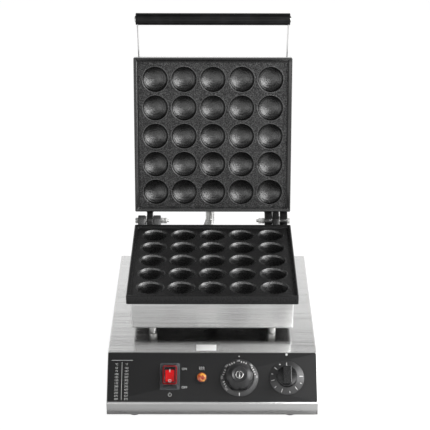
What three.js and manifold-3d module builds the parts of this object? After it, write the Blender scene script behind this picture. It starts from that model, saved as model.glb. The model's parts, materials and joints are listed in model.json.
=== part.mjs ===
// Poffertjes maker: two cast plates with round hollows, hinged along the back. The lower plate lies on a
// heated box, the upper one hangs in a heated cover, and both stand on a sheet steel base with a sloping
// control panel. Millimetres, +X to the right, +Y to the back, +Z up. The lid stands open on its stop.

import * as THREE from 'three';
import { mergeVertices } from 'three/addons/utils/BufferGeometryUtils.js';
import Module from 'manifold-3d';

const wasm = await Module();
wasm.setup();

// Fits that all pieces share
const seat_gap = 0.3;
const running_gap = 0.3;
const overrun = 5;
const weld = 0.0001;
const quarter_turn = Math.PI / 2;
const degree = Math.PI / 180;
const round_sides = 16;
const small_sides = 10;

// Cooking plates: one casting used twice, the upper one turned over. The hollows' grid gives every width.
const cavities_per_side = 5;
const cavity_pitch = 50;
const cavity_land = 6.4;
const cavity_radius = (cavity_pitch - cavity_land) / 2;
const cavity_depth = 12;
const cavity_rings = 3;
const cavity_sides = 14;
const grid_size = cavities_per_side * cavity_pitch;
const plate_side_margin = 12;
const plate_front_margin = 13;
const plate_back_margin = 10;
const plate_width = grid_size + 2 * plate_side_margin;
const plate_front = grid_size / 2 + plate_front_margin;
const plate_back = grid_size / 2 + plate_back_margin;
const plate_edge_height = 15;
const plate_corner_radius = 4;
const rim_width = 5.5;
const cooking_floor_drop = 4.2;
const core_inset = 7;
const core_size = grid_size - 2 * core_inset;
const core_height = 4.5;
const boss_radius = 7;
const boss_hole_depth = 27;
const rim_gap = 0.4;

// Hinge of the two castings
const hinge_reach = 16;
const eye_radius = 9.5;
const pin_radius = 3;
const lug_inset = 11;
const lug_pitch = 29;
const single_lug_offset = 13.5;
const outer_lug_x = plate_width / 2 - lug_inset;
const inner_lug_x = outer_lug_x - lug_pitch;
const single_lug_x = inner_lug_x + single_lug_offset;
const double_lug_width = 11;
const single_lug_width = 12;
const stop_face_start = 3;
const stop_face_width = 9;
const open_angle = 99.8 * degree;
const hex_across = 10;
const pin_head_height = 5;
const nut_height = 5;
const pin_tail = 4;

// Heating element, its clamping sheet, the insulation and the sensor
const element_radius = 4;
const element_runs = 4;
const element_pitch = cavity_pitch;
const element_bend_room = 65;
const element_run = grid_size - 2 * element_bend_room;
const element_lead = 28;
const element_steps = 64;
const element_sides = 6;
const bend_shares = [0.25, 0.5, 0.75];
const clamp_sheet = 1.5;
const clamp_inset = 5;
const clamp_size = core_size - 2 * clamp_inset;
const bulb_radius = 3;
const bulb_length = 76;

// Heated box and cover, and the insulation in them
const box_side_margin = 5;
const box_inset = 3;
const cover_inset = 2.5;
const box_width = grid_size + 2 * box_side_margin;
const box_depth = grid_size - 2 * box_inset;
const box_height = 51.5;
const box_sheet = 1.2;
const box_fold_radius = 2.5;
const cover_width = box_width - 2 * cover_inset;
const insulation_side_gap = 5.5;
const insulation_front_gap = 3;
const insulation_wire_room = 16;
const insulation_width = cover_width - 2 * insulation_side_gap;
const insulation_front = box_depth / 2 - insulation_front_gap;
const insulation_back = box_depth / 2 - insulation_wire_room;

// Posts between box and base
const post_side_inset = 28.5;
const post_end_inset = 19;
const post_x = grid_size / 2 - post_side_inset;
const post_y = grid_size / 2 - post_end_inset;
const post_radius = 6.5;
const post_height = 15.5;
const bolt_radius = 3;
const bolt_head_height = 4;
const bolt_reach = 22;
const wire_tube_radius = 9;
const wire_tube_bore = 6.5;
const wire_tube_y = 50;

// Base
const base_side_margin = 35.5;
const base_front_margin = 51.5;
const base_back_margin = 58;
const base_width = box_width + 2 * base_side_margin;
const base_sheet = 1.5;
const base_front_reach = box_depth / 2 + base_front_margin;
const base_back_reach = box_depth / 2 + base_back_margin;
const lip_height = 19.5;
const slope_length = 82.5;
const slope_angle = 45 * degree;
const vent_count = 9;
const vent_width = 4;
const vent_length = 34;
const vent_pitch = 12;
const vent_rows = 2;
const vent_row_gap = 150;

// Feet
const foot_height = 10;
const foot_top_radius = 12.5;
const foot_bottom_radius = 10.5;
const foot_side_inset = 42.5;
const foot_x = base_width / 2 - foot_side_inset;
const foot_inset = 24;

// Control panel plate, with its features' places counted from its right edge and from the slope's foot
const panel_sheet = 0.8;
const panel_margin = 1;
const panel_foot_margin = 2.9;
const panel_length = slope_length - panel_foot_margin;
const dials_above_foot = 41.3;
const switch_above_dials = 1.9;
const panel_middle = slope_length - dials_above_foot;
const timer_inset = 48.2;
const dial_spacing = 74.8;
const lamp_spacing = 59;
const switch_spacing = 50;
const timer_x = base_width / 2 - timer_inset;
const thermostat_x = timer_x - dial_spacing;
const lamp_x = thermostat_x - lamp_spacing;
const switch_x = lamp_x - switch_spacing;

// Mains switch and its clear cover
const switch_middle = panel_middle - switch_above_dials;
const switch_frame_width = 19.5;
const switch_frame_length = 27.5;
const switch_frame_height = 9.5;
const switch_frame_wall = 1.5;
const switch_body_depth = 22;
const rocker_side_inset = 1.95;
const rocker_end_inset = 2.25;
const rocker_width = switch_frame_width - 2 * rocker_side_inset;
const rocker_length = switch_frame_length - 2 * rocker_end_inset;
const rocker_pivot_height = 4.5;
const rocker_end_height = 3.2;
const rocker_middle_height = 1.4;
const rocker_belly = 4.5;
const rocker_axle_radius = 1.2;
const rocker_tilt = 9 * degree;
const boot_foot_width = 5.75;
const boot_foot_length = 7.5;
const boot_clearance = 0.75;
const boot_width = switch_frame_width + 2 * boot_foot_width;
const boot_length = switch_frame_length + 2 * boot_foot_length;
const boot_top_width = switch_frame_width + 2 * boot_clearance;
const boot_top_length = switch_frame_length + 2 * boot_clearance;
const boot_height = 12.2;
const boot_wall = 1.2;

// Signal lamp
const lamp_flange_radius = 8.6;
const lamp_flange_height = 1.8;
const lamp_neck_radius = 6;
const lamp_depth = 18;
const lens_radius = 7.5;
const lens_height = 4.6;
const lens_stem_radius = 4.2;
const lens_stem_length = 6;
const lens_shares = [[1, 0.4], [0.8, 0.75], [0.35, 1]];

// Thermostat and timer
const shaft_radius = 3;
const shaft_reach = 9;
const neck_radius = 4.7;
const thermostat_size = 34;
const thermostat_depth = 30;
const timer_radius = 24;
const timer_depth = 32;
const knob_lift = 0.6;

const thermostat_skirt_radius = 30.3;
const thermostat_skirt_height = 3.2;
const thermostat_grip_radius = 23.6;
const thermostat_grip_top_radius = 20.8;
const thermostat_grip_height = 17;
const thermostat_flutes = 12;
const thermostat_flute_radius = 5;
const thermostat_flute_bite = 1.3;
const thermostat_cap_radius = 12.5;
const thermostat_cap_height = 2.2;
const knob_edge = 1;
const knob_sides = 32;

const timer_skirt_radius = 27.4;
const timer_skirt_height = 3;
const timer_hub_radius = 15;
const timer_hub_height = 11;
const timer_bar_width = 13.5;
const timer_bar_length = 29;
const timer_bar_height = 20;

// Handle on the lid
const arm_thickness = 2.2;
const arm_spread = cover_width / 2 + seat_gap + arm_thickness / 2;
const arm_width = 18;
const arm_rear_y = 20;
const arm_rise = 34;
const arm_bend_inset = 10;
const grip_reach = 67;
const grip_drop = 5;
const grip_radius = 10.3;
const grip_overhang = 2.8;
const grip_half_length = arm_spread + grip_overhang;
const grip_sides = 24;
const grip_screw_radius = 5.6;
const grip_screw_dome = 2.3;
const grip_screw_reach = 10;
const arm_screw_radius = 5;
const arm_screw_dome = 2.4;
const arm_screw_shank = 2;
const arm_screw_inset = 14;
const arm_nut_radius = 4.4;
const arm_nut_height = 3;
const cover_screw_radius = 6;
const cover_screw_dome = 3.2;
const dome_shoulder_share = 0.8;

// Wiring conduit between base and lid, and the cord gland
const conduit_radius = 8;
const conduit_groove = 1;
const conduit_bore = 5.8;
const conduit_rib_pitch = 2.8;
const conduit_sides = 8;
const ribs_per_bore_ring = 5;
const conduit_box_x = -20;
const conduit_box_z = 26;
const conduit_lid_x = -5;
const conduit_bulge = 24;
const gland_radius = 11;
const gland_height = 13;
const gland_socket_depth = 9;
const gland_collar_radius = 13.5;
const gland_collar_height = 3;
const gland_neck_radius = 9;
const gland_neck_length = 6;
const cord_gland_inset = 53.5;
const cord_gland_x = base_width / 2 - cord_gland_inset;
const cord_gland_z = 38;
const cord_gland_radius = 12;
const cord_gland_flange = 3;
const cord_gland_neck_radius = 9.5;
const cord_gland_nose_radius = 7.5;
const cord_gland_nose_length = 14;
const cord_bore_radius = 4;

// Heights and places that follow from the sizes
const base_bottom_z = foot_height;
const lip_top_z = base_bottom_z + lip_height;
const base_top_z = lip_top_z + slope_length * Math.sin(slope_angle);
const slope_top_y = -base_front_reach;
const base_front_y = slope_top_y - slope_length * Math.cos(slope_angle);
const base_back_y = base_back_reach;
const box_bottom_z = base_top_z + post_height;
const stack_height = plate_edge_height + seat_gap + box_height;
const rim_z = box_bottom_z + stack_height;
const hinge_y = plate_back + hinge_reach;
const hinge_z = rim_z + rim_gap / 2;
const core_bottom = -(plate_edge_height + core_height);
const boss_bottom = -(stack_height - box_sheet - seat_gap);
const panel_face = seat_gap + panel_sheet;
const bolt_hole_radius = bolt_radius + running_gap;
const pin_hole_radius = pin_radius + running_gap;

// Materials, with the colours that the photograph shows
function finish(color, roughness, metalness, opacity = 1) {
  return new THREE.MeshStandardMaterial({ color, roughness, metalness, opacity, transparent: opacity < 1 });
}
const brushed_steel = () => finish(0xc4c4c2, 0.34, 0.9);
const bright_steel = () => finish(0xd2d2d0, 0.22, 1);
const coated_casting = () => finish(0x2c2c2e, 0.42, 0.35);
const black_print = () => finish(0x242425, 0.45, 0);
const black_plastic = () => finish(0x151516, 0.38, 0);
const black_rubber = () => finish(0x1b1b1b, 0.85, 0);
const red_plastic = () => finish(0xd3101c, 0.3, 0);
const clear_rubber = () => finish(0xd8dadb, 0.25, 0, 0.35);
const amber_plastic = () => finish(0xe8862e, 0.2, 0, 0.8);
const element_sheath = () => finish(0x6d6a66, 0.5, 0.8);
const ceramic_wool = () => finish(0xe6e2d8, 0.95, 0);
const capillary_copper = () => finish(0xb2764e, 0.35, 0.9);

// Closed bodies: shared points are merged, collapsed triangles dropped, and faces turned outwards
function toSolid(geometry) {
  geometry.deleteAttribute('normal');
  geometry.deleteAttribute('uv');
  const welded = mergeVertices(geometry, weld);
  const points = welded.attributes.position;
  const corners = welded.index.array;
  const kept = [];
  const [a, b, c] = [new THREE.Vector3(), new THREE.Vector3(), new THREE.Vector3()];
  let volume = 0;
  for (let i = 0; i < corners.length; i += 3) {
    const [p, q, r] = [corners[i], corners[i + 1], corners[i + 2]];
    if (p !== q && q !== r && r !== p) {
      kept.push(p, q, r);
      a.fromBufferAttribute(points, p);
      b.fromBufferAttribute(points, q);
      c.fromBufferAttribute(points, r);
      volume += a.dot(b.cross(c));
    }
  }
  if (volume < 0) {
    kept.reverse();
  }
  const mesh = new wasm.Mesh({
    numProp: 3,
    vertProperties: Float32Array.from(points.array),
    triVerts: Uint32Array.from(kept),
  });
  return new wasm.Manifold(mesh);
}

function toGeometry(solid) {
  const mesh = solid.getMesh();
  const geometry = new THREE.BufferGeometry();
  geometry.setAttribute('position', new THREE.BufferAttribute(Float32Array.from(mesh.vertProperties), 3));
  geometry.setIndex(new THREE.BufferAttribute(Uint32Array.from(mesh.triVerts), 1));
  geometry.computeVertexNormals();
  return geometry;
}

function joined(first, ...others) {
  return others.reduce((whole, next) => whole.add(next), first);
}

function cut(whole, ...tools) {
  return tools.reduce((left, tool) => left.subtract(tool), whole);
}

// A block between two corners
function block(low, high) {
  const size = high.map((top, i) => top - low[i]);
  const middle = high.map((top, i) => (top + low[i]) / 2);
  return toSolid(new THREE.BoxGeometry(...size).translate(...middle));
}

// A round bar along x, y or z from start to end, with its centre line at the two other coordinates
function bar(axis, radius, start, end, [u, v], sides = round_sides, end_radius = radius) {
  const geometry = new THREE.CylinderGeometry(end_radius, radius, end - start, sides);
  const middle = (start + end) / 2;
  if (axis === 'x') {
    return toSolid(geometry.rotateZ(-quarter_turn).translate(middle, u, v));
  }
  if (axis === 'y') {
    return toSolid(geometry.translate(u, middle, v));
  }
  return toSolid(geometry.rotateX(quarter_turn).translate(u, v, middle));
}

// A six-sided head or nut along x or z, from start to end
function hexagon(axis, start, end, place) {
  return bar(axis, hex_across / Math.sqrt(3), start, end, place, 6);
}

// A turned body about z, from [radius, height] points
function turned(points, sides = round_sides) {
  const profile = points.map(([radius, height]) => new THREE.Vector2(radius, height));
  return toSolid(new THREE.LatheGeometry(profile, sides).rotateX(quarter_turn));
}

// A flat outline in x and y, raised along z
function raised(shape, bottom, top) {
  const geometry = new THREE.ExtrudeGeometry(shape, {
    depth: top - bottom,
    bevelEnabled: false,
    curveSegments: 3,
  });
  return toSolid(geometry.translate(0, 0, bottom));
}

// An outline in y and z, carried along x
const across = new THREE.Matrix4().makeBasis(
  new THREE.Vector3(0, 1, 0),
  new THREE.Vector3(0, 0, 1),
  new THREE.Vector3(1, 0, 0),
);
function sideways(shape, left, right, segments = 5) {
  const geometry = new THREE.ExtrudeGeometry(shape, {
    depth: right - left,
    bevelEnabled: false,
    curveSegments: segments,
  });
  return toSolid(geometry.applyMatrix4(across).translate(left, 0, 0));
}

function outline(points) {
  return new THREE.Shape(points.map(([u, v]) => new THREE.Vector2(u, v)));
}

function roundedRectangle(left, right, front, back, radius) {
  const shape = new THREE.Shape();
  shape.absarc(right - radius, back - radius, radius, 0, quarter_turn);
  shape.absarc(left + radius, back - radius, radius, quarter_turn, 2 * quarter_turn);
  shape.absarc(left + radius, front + radius, radius, 2 * quarter_turn, 3 * quarter_turn);
  shape.absarc(right - radius, front + radius, radius, 3 * quarter_turn, 4 * quarter_turn);
  return shape;
}

// A strap's outline with round ends between two points
function strapOutline([u0, v0], [u1, v1], radius) {
  const heading = Math.atan2(v1 - v0, u1 - u0);
  const shape = new THREE.Shape();
  shape.absarc(u1, v1, radius, heading - quarter_turn, heading + quarter_turn);
  shape.absarc(u0, v0, radius, heading + quarter_turn, heading + 3 * quarter_turn);
  return shape;
}

function ringOutline(radius, sides) {
  const points = [];
  for (let i = 0; i < sides; i += 1) {
    const turn = (2 * Math.PI * i) / sides;
    points.push([radius * Math.cos(turn), radius * Math.sin(turn)]);
  }
  return outline(points);
}

function addPiece(parent, name, solid, material) {
  const mesh = new THREE.Mesh(toGeometry(solid), material);
  mesh.name = name;
  parent.add(mesh);
  return mesh;
}

function fourCorners(x, y) {
  return [
    ['front_left', -x, -y],
    ['front_right', x, -y],
    ['back_left', -x, y],
    ['back_right', x, y],
  ];
}

const machine = new THREE.Group();
const panel = new THREE.Group();
panel.position.set(0, slope_top_y, base_top_z);
panel.rotation.x = slope_angle;
const lower_head = new THREE.Group();
lower_head.position.set(0, 0, rim_z);
const lid = new THREE.Group();
lid.position.set(0, hinge_y, hinge_z);
lid.rotation.x = -open_angle;
const upper_head = new THREE.Group();
upper_head.position.set(0, -hinge_y, rim_gap / 2);
upper_head.rotation.y = Math.PI;
lid.add(upper_head);
machine.add(panel, lower_head, lid);

// Cooking plate: its rim's top is z = 0 and its middle hollow is the origin. The hollows open upwards.
function makePlate() {
  const half = plate_width / 2;
  const body = raised(
    roundedRectangle(-half, half, -plate_front, plate_back, plate_corner_radius),
    -plate_edge_height,
    0,
  );
  const tray = block(
    [-half + rim_width, -plate_front + rim_width, -cooking_floor_drop],
    [half - rim_width, plate_back - rim_width, overrun],
  );
  const core = block(
    [-core_size / 2, -core_size / 2, core_bottom],
    [core_size / 2, core_size / 2, -plate_edge_height + seat_gap],
  );
  let plate = cut(joined(body, core), tray);

  const ball = (cavity_radius ** 2 + cavity_depth ** 2) / (2 * cavity_depth);
  const half_opening = Math.asin(cavity_radius / ball);
  const profile = [];
  for (let i = 0; i <= cavity_rings; i += 1) {
    const angle = (half_opening * i) / cavity_rings;
    profile.push([ball * Math.sin(angle), ball - cavity_depth - ball * Math.cos(angle)]);
  }
  profile.push([cavity_radius, overrun], [0, overrun]);
  profile[0][0] = 0;
  for (let row = 0; row < cavities_per_side; row += 1) {
    for (let column = 0; column < cavities_per_side; column += 1) {
      const x = (column - (cavities_per_side - 1) / 2) * cavity_pitch;
      const y = (row - (cavities_per_side - 1) / 2) * cavity_pitch;
      plate = cut(plate, turned(profile, cavity_sides).translate(x, y, -cooking_floor_drop));
    }
  }

  const hole_top = boss_bottom + boss_hole_depth;
  for (const [, x, y] of fourCorners(post_x, post_y)) {
    const boss = bar('z', boss_radius, boss_bottom, core_bottom + seat_gap, [x, y]);
    const hole = bar('z', bolt_hole_radius, boss_bottom - overrun, hole_top, [x, y], small_sides);
    plate = cut(joined(plate, boss), hole);
  }

  const axis_z = rim_gap / 2;
  const arm = outline([
    [plate_back - rim_width, -plate_edge_height],
    [hinge_y, axis_z - eye_radius],
    [hinge_y, axis_z + eye_radius],
    [plate_back, -rim_width],
    [plate_back - rim_width, -rim_width],
  ]);
  const lugs = [
    [-outer_lug_x, double_lug_width, false],
    [-inner_lug_x, double_lug_width, false],
    [single_lug_x, single_lug_width, true],
  ];
  for (const [x, width, has_stop] of lugs) {
    const [left, right] = [x - width / 2, x + width / 2];
    plate = joined(plate, sideways(arm, left, right), bar('x', eye_radius, left, right, [hinge_y, axis_z]));
    if (has_stop) {
      plate = joined(plate, sideways(makeStop(axis_z), left, right));
    }
    const hole = bar('x', pin_hole_radius, left - overrun, right + overrun, [hinge_y, axis_z], small_sides);
    plate = cut(plate, hole);
  }
  return plate;
}

// Heel on the single lug: its flat face meets the other plate's back edge when the lid is fully open
function makeStop(axis_z) {
  const reach = hinge_reach - running_gap;
  const facing = Math.PI - open_angle;
  const point = (along) => [
    hinge_y + reach * Math.cos(facing) + along * Math.sin(facing),
    axis_z + reach * Math.sin(facing) - along * Math.cos(facing),
  ];
  return outline([
    [hinge_y, axis_z],
    [hinge_y + eye_radius, axis_z],
    point(stop_face_start + stop_face_width),
    point(stop_face_start),
    [hinge_y - pin_radius, axis_z + eye_radius - running_gap],
  ]);
}

// Heating element: one tube in straight runs joined by half-round bends, lying under the plate's core
function makeElement() {
  const bend = element_pitch / 2;
  const z = core_bottom - seat_gap - element_radius;
  const points = [];
  const first_x = (-(element_runs - 1) / 2) * element_pitch;
  points.push(new THREE.Vector3(first_x, element_run / 2 + element_lead, z));
  for (let run = 0; run < element_runs; run += 1) {
    const x = first_x + run * element_pitch;
    const side = run % 2 === 0 ? 1 : -1;
    points.push(new THREE.Vector3(x, (side * element_run) / 2, z));
    points.push(new THREE.Vector3(x, 0, z));
    points.push(new THREE.Vector3(x, (-side * element_run) / 2, z));
    if (run < element_runs - 1) {
      for (const share of bend_shares) {
        const turn = Math.PI * (1 - share);
        const y = -side * (element_run / 2 + bend * Math.sin(turn));
        points.push(new THREE.Vector3(x + bend + bend * Math.cos(turn), y, z));
      }
    }
  }
  points.push(new THREE.Vector3(-first_x, element_run / 2 + element_lead, z));
  const path = new THREE.CatmullRomCurve3(points, false, 'centripetal');
  const geometry = new THREE.ExtrudeGeometry(ringOutline(element_radius, element_sides), {
    steps: element_steps,
    extrudePath: path,
    bevelEnabled: false,
  });
  return toSolid(geometry);
}

// Clamping sheet under the element, held by the four bosses
function makeClamp() {
  const top = core_bottom - 2 * seat_gap - 2 * element_radius;
  const half = clamp_size / 2;
  const sheet = block([-half, -half, top - clamp_sheet], [half, half, top]);
  const holes = fourCorners(post_x, post_y).map(([, x, y]) =>
    bar('z', boss_radius + running_gap, top - clamp_sheet - overrun, top + overrun, [x, y]),
  );
  return cut(sheet, ...holes);
}

// Ceramic wool pad between the clamping sheet and the box's floor, with room for wires at the back wall
function makeInsulation() {
  const top = core_bottom - 3 * seat_gap - 2 * element_radius - clamp_sheet;
  const half = insulation_width / 2;
  const pad = block([-half, -insulation_front, boss_bottom], [half, insulation_back, top]);
  const holes = fourCorners(post_x, post_y).map(([, x, y]) => {
    const notch = block(
      [x - boss_radius - running_gap, y > 0 ? y - boss_radius - running_gap : y, boss_bottom - overrun],
      [x + boss_radius + running_gap, y > 0 ? y + overrun + boss_radius : y + boss_radius, top + overrun],
    );
    const hole = bar('z', boss_radius + running_gap, boss_bottom - overrun, top + overrun, [x, y]);
    return y > 0 ? notch : hole;
  });
  return cut(pad, ...holes);
}

// Folded sheet tray under a plate, open towards it, with a hole for each bolt
function makeTray(width) {
  const [low, high] = [-stack_height, -plate_edge_height - seat_gap];
  const half = width / 2;
  const back = box_depth / 2;
  const shell = raised(roundedRectangle(-half, half, -back, back, box_fold_radius), low, high);
  const hollow = block(
    [-half + box_sheet, -back + box_sheet, low + box_sheet],
    [half - box_sheet, back - box_sheet, high + overrun],
  );
  const holes = fourCorners(post_x, post_y).map(([, x, y]) =>
    bar('z', bolt_hole_radius, low - overrun, low + overrun, [x, y], small_sides),
  );
  return cut(shell, hollow, ...holes);
}

const plate = makePlate();
const element = makeElement();
const clamp = makeClamp();
const insulation = makeInsulation();
for (const [side, head] of [['lower', lower_head], ['upper', upper_head]]) {
  addPiece(head, `${side}_plate`, plate, coated_casting());
  addPiece(head, `${side}_heating_element`, element, element_sheath());
  addPiece(head, `${side}_element_clamp`, clamp, brushed_steel());
  addPiece(head, `${side}_insulation`, insulation, ceramic_wool());
}

// Lower box with its wire opening, and the sensor bulb beside the element
const tray_floor = -stack_height;
const wire_hole = bar('z', wire_tube_bore, tray_floor - overrun, tray_floor + overrun, [0, wire_tube_y]);
const gland_hole_radius = gland_neck_radius + running_gap;
const box_gland_z = tray_floor + conduit_box_z;
const box_gland_hole = bar(
  'y',
  gland_hole_radius,
  box_depth / 2 - overrun,
  box_depth / 2 + overrun,
  [conduit_box_x, box_gland_z],
);
addPiece(lower_head, 'lower_box', cut(makeTray(box_width), wire_hole, box_gland_hole), brushed_steel());
const bulb_place = [0, core_bottom - seat_gap - bulb_radius];
const bulb = bar('y', bulb_radius, -bulb_length / 2, bulb_length / 2, bulb_place, small_sides);
addPiece(lower_head, 'thermostat_bulb', bulb, capillary_copper());

// Upper cover with holes for the handle's screws and for the conduit gland in its hinge wall
const half_cover = cover_width / 2;
const arm_z = -(plate_edge_height + arm_rise);
const arm_rear = [arm_rear_y, arm_z];
const arm_bend = [-plate_front + arm_bend_inset, arm_z + arm_width / 2];
const arm_screw_places = [
  ['rear', arm_rear_y - arm_screw_inset / 2, arm_z],
  ['front', -plate_front + arm_bend_inset + 2 * arm_screw_inset, arm_z + arm_width / 4],
];
const arm_hole_radius = arm_screw_shank + running_gap;
const conduit_wall_z = -(plate_edge_height + box_height / 2);
const cover_holes = arm_screw_places.map(([, y, z]) =>
  bar('x', arm_hole_radius, -half_cover - overrun, half_cover + overrun, [y, z], small_sides),
);
const lid_gland_place = [-conduit_lid_x, conduit_wall_z];
cover_holes.push(
  bar('y', gland_hole_radius, box_depth / 2 - overrun, box_depth / 2 + overrun, lid_gland_place),
);
addPiece(upper_head, 'upper_cover', cut(makeTray(cover_width), ...cover_holes), brushed_steel());

for (const [corner, x, y] of fourCorners(post_x, post_y)) {
  const face = tray_floor - seat_gap;
  const dome = turned(
    [
      [0, 0],
      [cover_screw_radius * Math.SQRT1_2, 0],
      [cover_screw_radius, cover_screw_dome / 2],
      [cover_screw_radius, cover_screw_dome],
      [0, cover_screw_dome],
    ],
    small_sides,
  ).translate(x, y, face - cover_screw_dome);
  const shank_start = face - cover_screw_dome / 2;
  const shank = bar('z', bolt_radius, shank_start, boss_bottom + bolt_reach, [x, y], small_sides);
  addPiece(upper_head, `cover_screw_${corner}`, joined(dome, shank), bright_steel());
}

// Handle: a strap on each side of the cover, bent down past the plate's front edge to the grip
const grip_place = [-plate_front - grip_reach, grip_drop];
const rod_half_length = grip_half_length - grip_screw_dome - grip_screw_reach;
const slot_half = arm_thickness / 2 + running_gap;
const grip_end = grip_half_length + overrun;
let grip = cut(
  bar('x', grip_radius, -grip_half_length, grip_half_length, grip_place, grip_sides),
  bar('x', pin_hole_radius, -grip_end, grip_end, grip_place, small_sides),
);
for (const [side, sign] of [['left', 1], ['right', -1]]) {
  const middle = sign * arm_spread;
  const strap = (growth, half) =>
    joined(
      sideways(strapOutline(arm_rear, arm_bend, arm_width / 2 + growth), middle - half, middle + half),
      sideways(strapOutline(arm_bend, grip_place, arm_width / 2 + growth), middle - half, middle + half),
    );
  const holes = arm_screw_places.map(([, y, z]) =>
    bar('x', arm_hole_radius, middle - overrun, middle + overrun, [y, z], small_sides),
  );
  holes.push(bar('x', pin_hole_radius, middle - overrun, middle + overrun, grip_place, small_sides));
  addPiece(upper_head, `handle_arm_${side}`, cut(strap(0, arm_thickness / 2), ...holes), brushed_steel());
  grip = cut(grip, strap(running_gap, slot_half));

  const dome = (radius, height, face, [y, z]) =>
    turned(
      [
        [0, 0],
        [radius, 0],
        [radius, height / 4],
        [radius * Math.SQRT1_2, height * dome_shoulder_share],
        [0, height],
      ],
      small_sides,
    )
      .rotate([0, sign * 90, 0])
      .translate(face, y, z);
  const shank = (radius, from, to, place) =>
    bar('x', radius, Math.min(from, to), Math.max(from, to), place, small_sides);
  const end = sign * (grip_half_length + seat_gap);
  const inward = end - sign * (seat_gap + grip_screw_reach);
  const in_dome = end + (sign * grip_screw_dome) / 2;
  const screw = joined(
    dome(grip_screw_radius, grip_screw_dome, end, grip_place),
    shank(bolt_radius, in_dome, inward, grip_place),
  );
  addPiece(upper_head, `grip_screw_${side}`, screw, bright_steel());

  for (const [where, y, z] of arm_screw_places) {
    const face = middle + sign * (arm_thickness / 2 + seat_gap);
    const inside = sign * (half_cover - box_sheet - seat_gap - arm_nut_height);
    const nut_outer = sign * (half_cover - box_sheet - seat_gap);
    const bolt = joined(
      dome(arm_screw_radius, arm_screw_dome, face, [y, z]),
      shank(arm_screw_shank, face + (sign * arm_screw_dome) / 2, inside, [y, z]),
      bar('x', arm_nut_radius, Math.min(inside, nut_outer), Math.max(inside, nut_outer), [y, z], 6),
    );
    addPiece(upper_head, `arm_screw_${where}_${side}`, bolt, bright_steel());
  }
}
addPiece(upper_head, 'grip', grip, black_plastic());
addPiece(
  upper_head,
  'grip_rod',
  bar('x', pin_radius, -rod_half_length, rod_half_length, grip_place, small_sides),
  bright_steel(),
);

// Hinge pins: a hexagon bolt on each side with its head outside and two nuts on its threaded tail
for (const [side, sign] of [['left', -1], ['right', 1]]) {
  const place = [hinge_y, hinge_z];
  const head_start = outer_lug_x + double_lug_width / 2 + seat_gap;
  const lugs_end = inner_lug_x - double_lug_width / 2 - seat_gap;
  const tail_end = lugs_end - 2 * nut_height - seat_gap - pin_tail;
  const span = (from, to) => [Math.min(sign * from, sign * to), Math.max(sign * from, sign * to)];
  const pin = joined(
    hexagon('x', ...span(head_start, head_start + pin_head_height), place),
    bar('x', pin_radius, ...span(head_start + seat_gap, tail_end), place, small_sides),
  );
  addPiece(machine, `hinge_pin_${side}`, pin, bright_steel());
  for (const [order, start] of [['first', lugs_end], ['second', lugs_end - nut_height - seat_gap]]) {
    const blank = hexagon('x', ...span(start, start - nut_height), place);
    const through = span(start + overrun, start - nut_height - overrun);
    const thread = bar('x', pin_hole_radius, ...through, place, small_sides);
    addPiece(machine, `hinge_nut_${order}_${side}`, cut(blank, thread), bright_steel());
  }
}

// Posts, the bolts through them, and the wire tube between base and box
for (const [corner, x, y] of fourCorners(post_x, post_y)) {
  const post = cut(
    bar('z', post_radius, base_top_z + seat_gap, box_bottom_z - seat_gap, [x, y]),
    bar('z', bolt_hole_radius, base_top_z - overrun, box_bottom_z + overrun, [x, y], small_sides),
  );
  addPiece(machine, `post_${corner}`, post, bright_steel());
  const under = base_top_z - base_sheet - seat_gap;
  const bolt = joined(
    hexagon('z', under - bolt_head_height, under, [x, y]),
    bar('z', bolt_radius, under - seat_gap, rim_z + boss_bottom + bolt_reach, [x, y], small_sides),
  );
  addPiece(machine, `post_bolt_${corner}`, bolt, bright_steel());
}
const wire_tube = cut(
  bar('z', wire_tube_radius, base_top_z + seat_gap, box_bottom_z - seat_gap, [0, wire_tube_y]),
  bar('z', wire_tube_bore, base_top_z - overrun, box_bottom_z + overrun, [0, wire_tube_y]),
);
addPiece(machine, 'wire_tube', wire_tube, bright_steel());

// Base housing: one folded sheet, its front sloping above an upright lip, with cut-outs for what it carries
const half_base = base_width / 2;
const slope = (offset) => {
  const lip_y = base_front_y + offset;
  const drop = Math.sin(slope_angle) * (slope_top_y - lip_y) + offset;
  const lip_z = base_top_z - drop / Math.cos(slope_angle);
  const top_y = slope_top_y + (offset * (1 - Math.cos(slope_angle))) / Math.sin(slope_angle);
  return [
    [lip_y, lip_z],
    [top_y, base_top_z - offset],
  ];
};
const shell_outline = (offset, bottom) =>
  outline([
    [base_front_y + offset, bottom],
    ...slope(offset),
    [base_back_y - offset, base_top_z - offset],
    [base_back_y - offset, bottom],
  ]);
const inner_half = half_base - base_sheet;
let housing = cut(
  sideways(shell_outline(0, base_bottom_z), -half_base, half_base),
  sideways(shell_outline(base_sheet, base_bottom_z - overrun), -inner_half, inner_half),
);
const through_top = [base_top_z - overrun, base_top_z + overrun];
const through_back = [base_back_y - overrun, base_back_y + overrun];
for (const [, x, y] of fourCorners(post_x, post_y)) {
  housing = cut(housing, bar('z', bolt_hole_radius, ...through_top, [x, y], small_sides));
}
housing = cut(
  housing,
  bar('z', wire_tube_bore, ...through_top, [0, wire_tube_y]),
  bar('y', cord_gland_neck_radius + running_gap, ...through_back, [cord_gland_x, cord_gland_z]),
);

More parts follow.
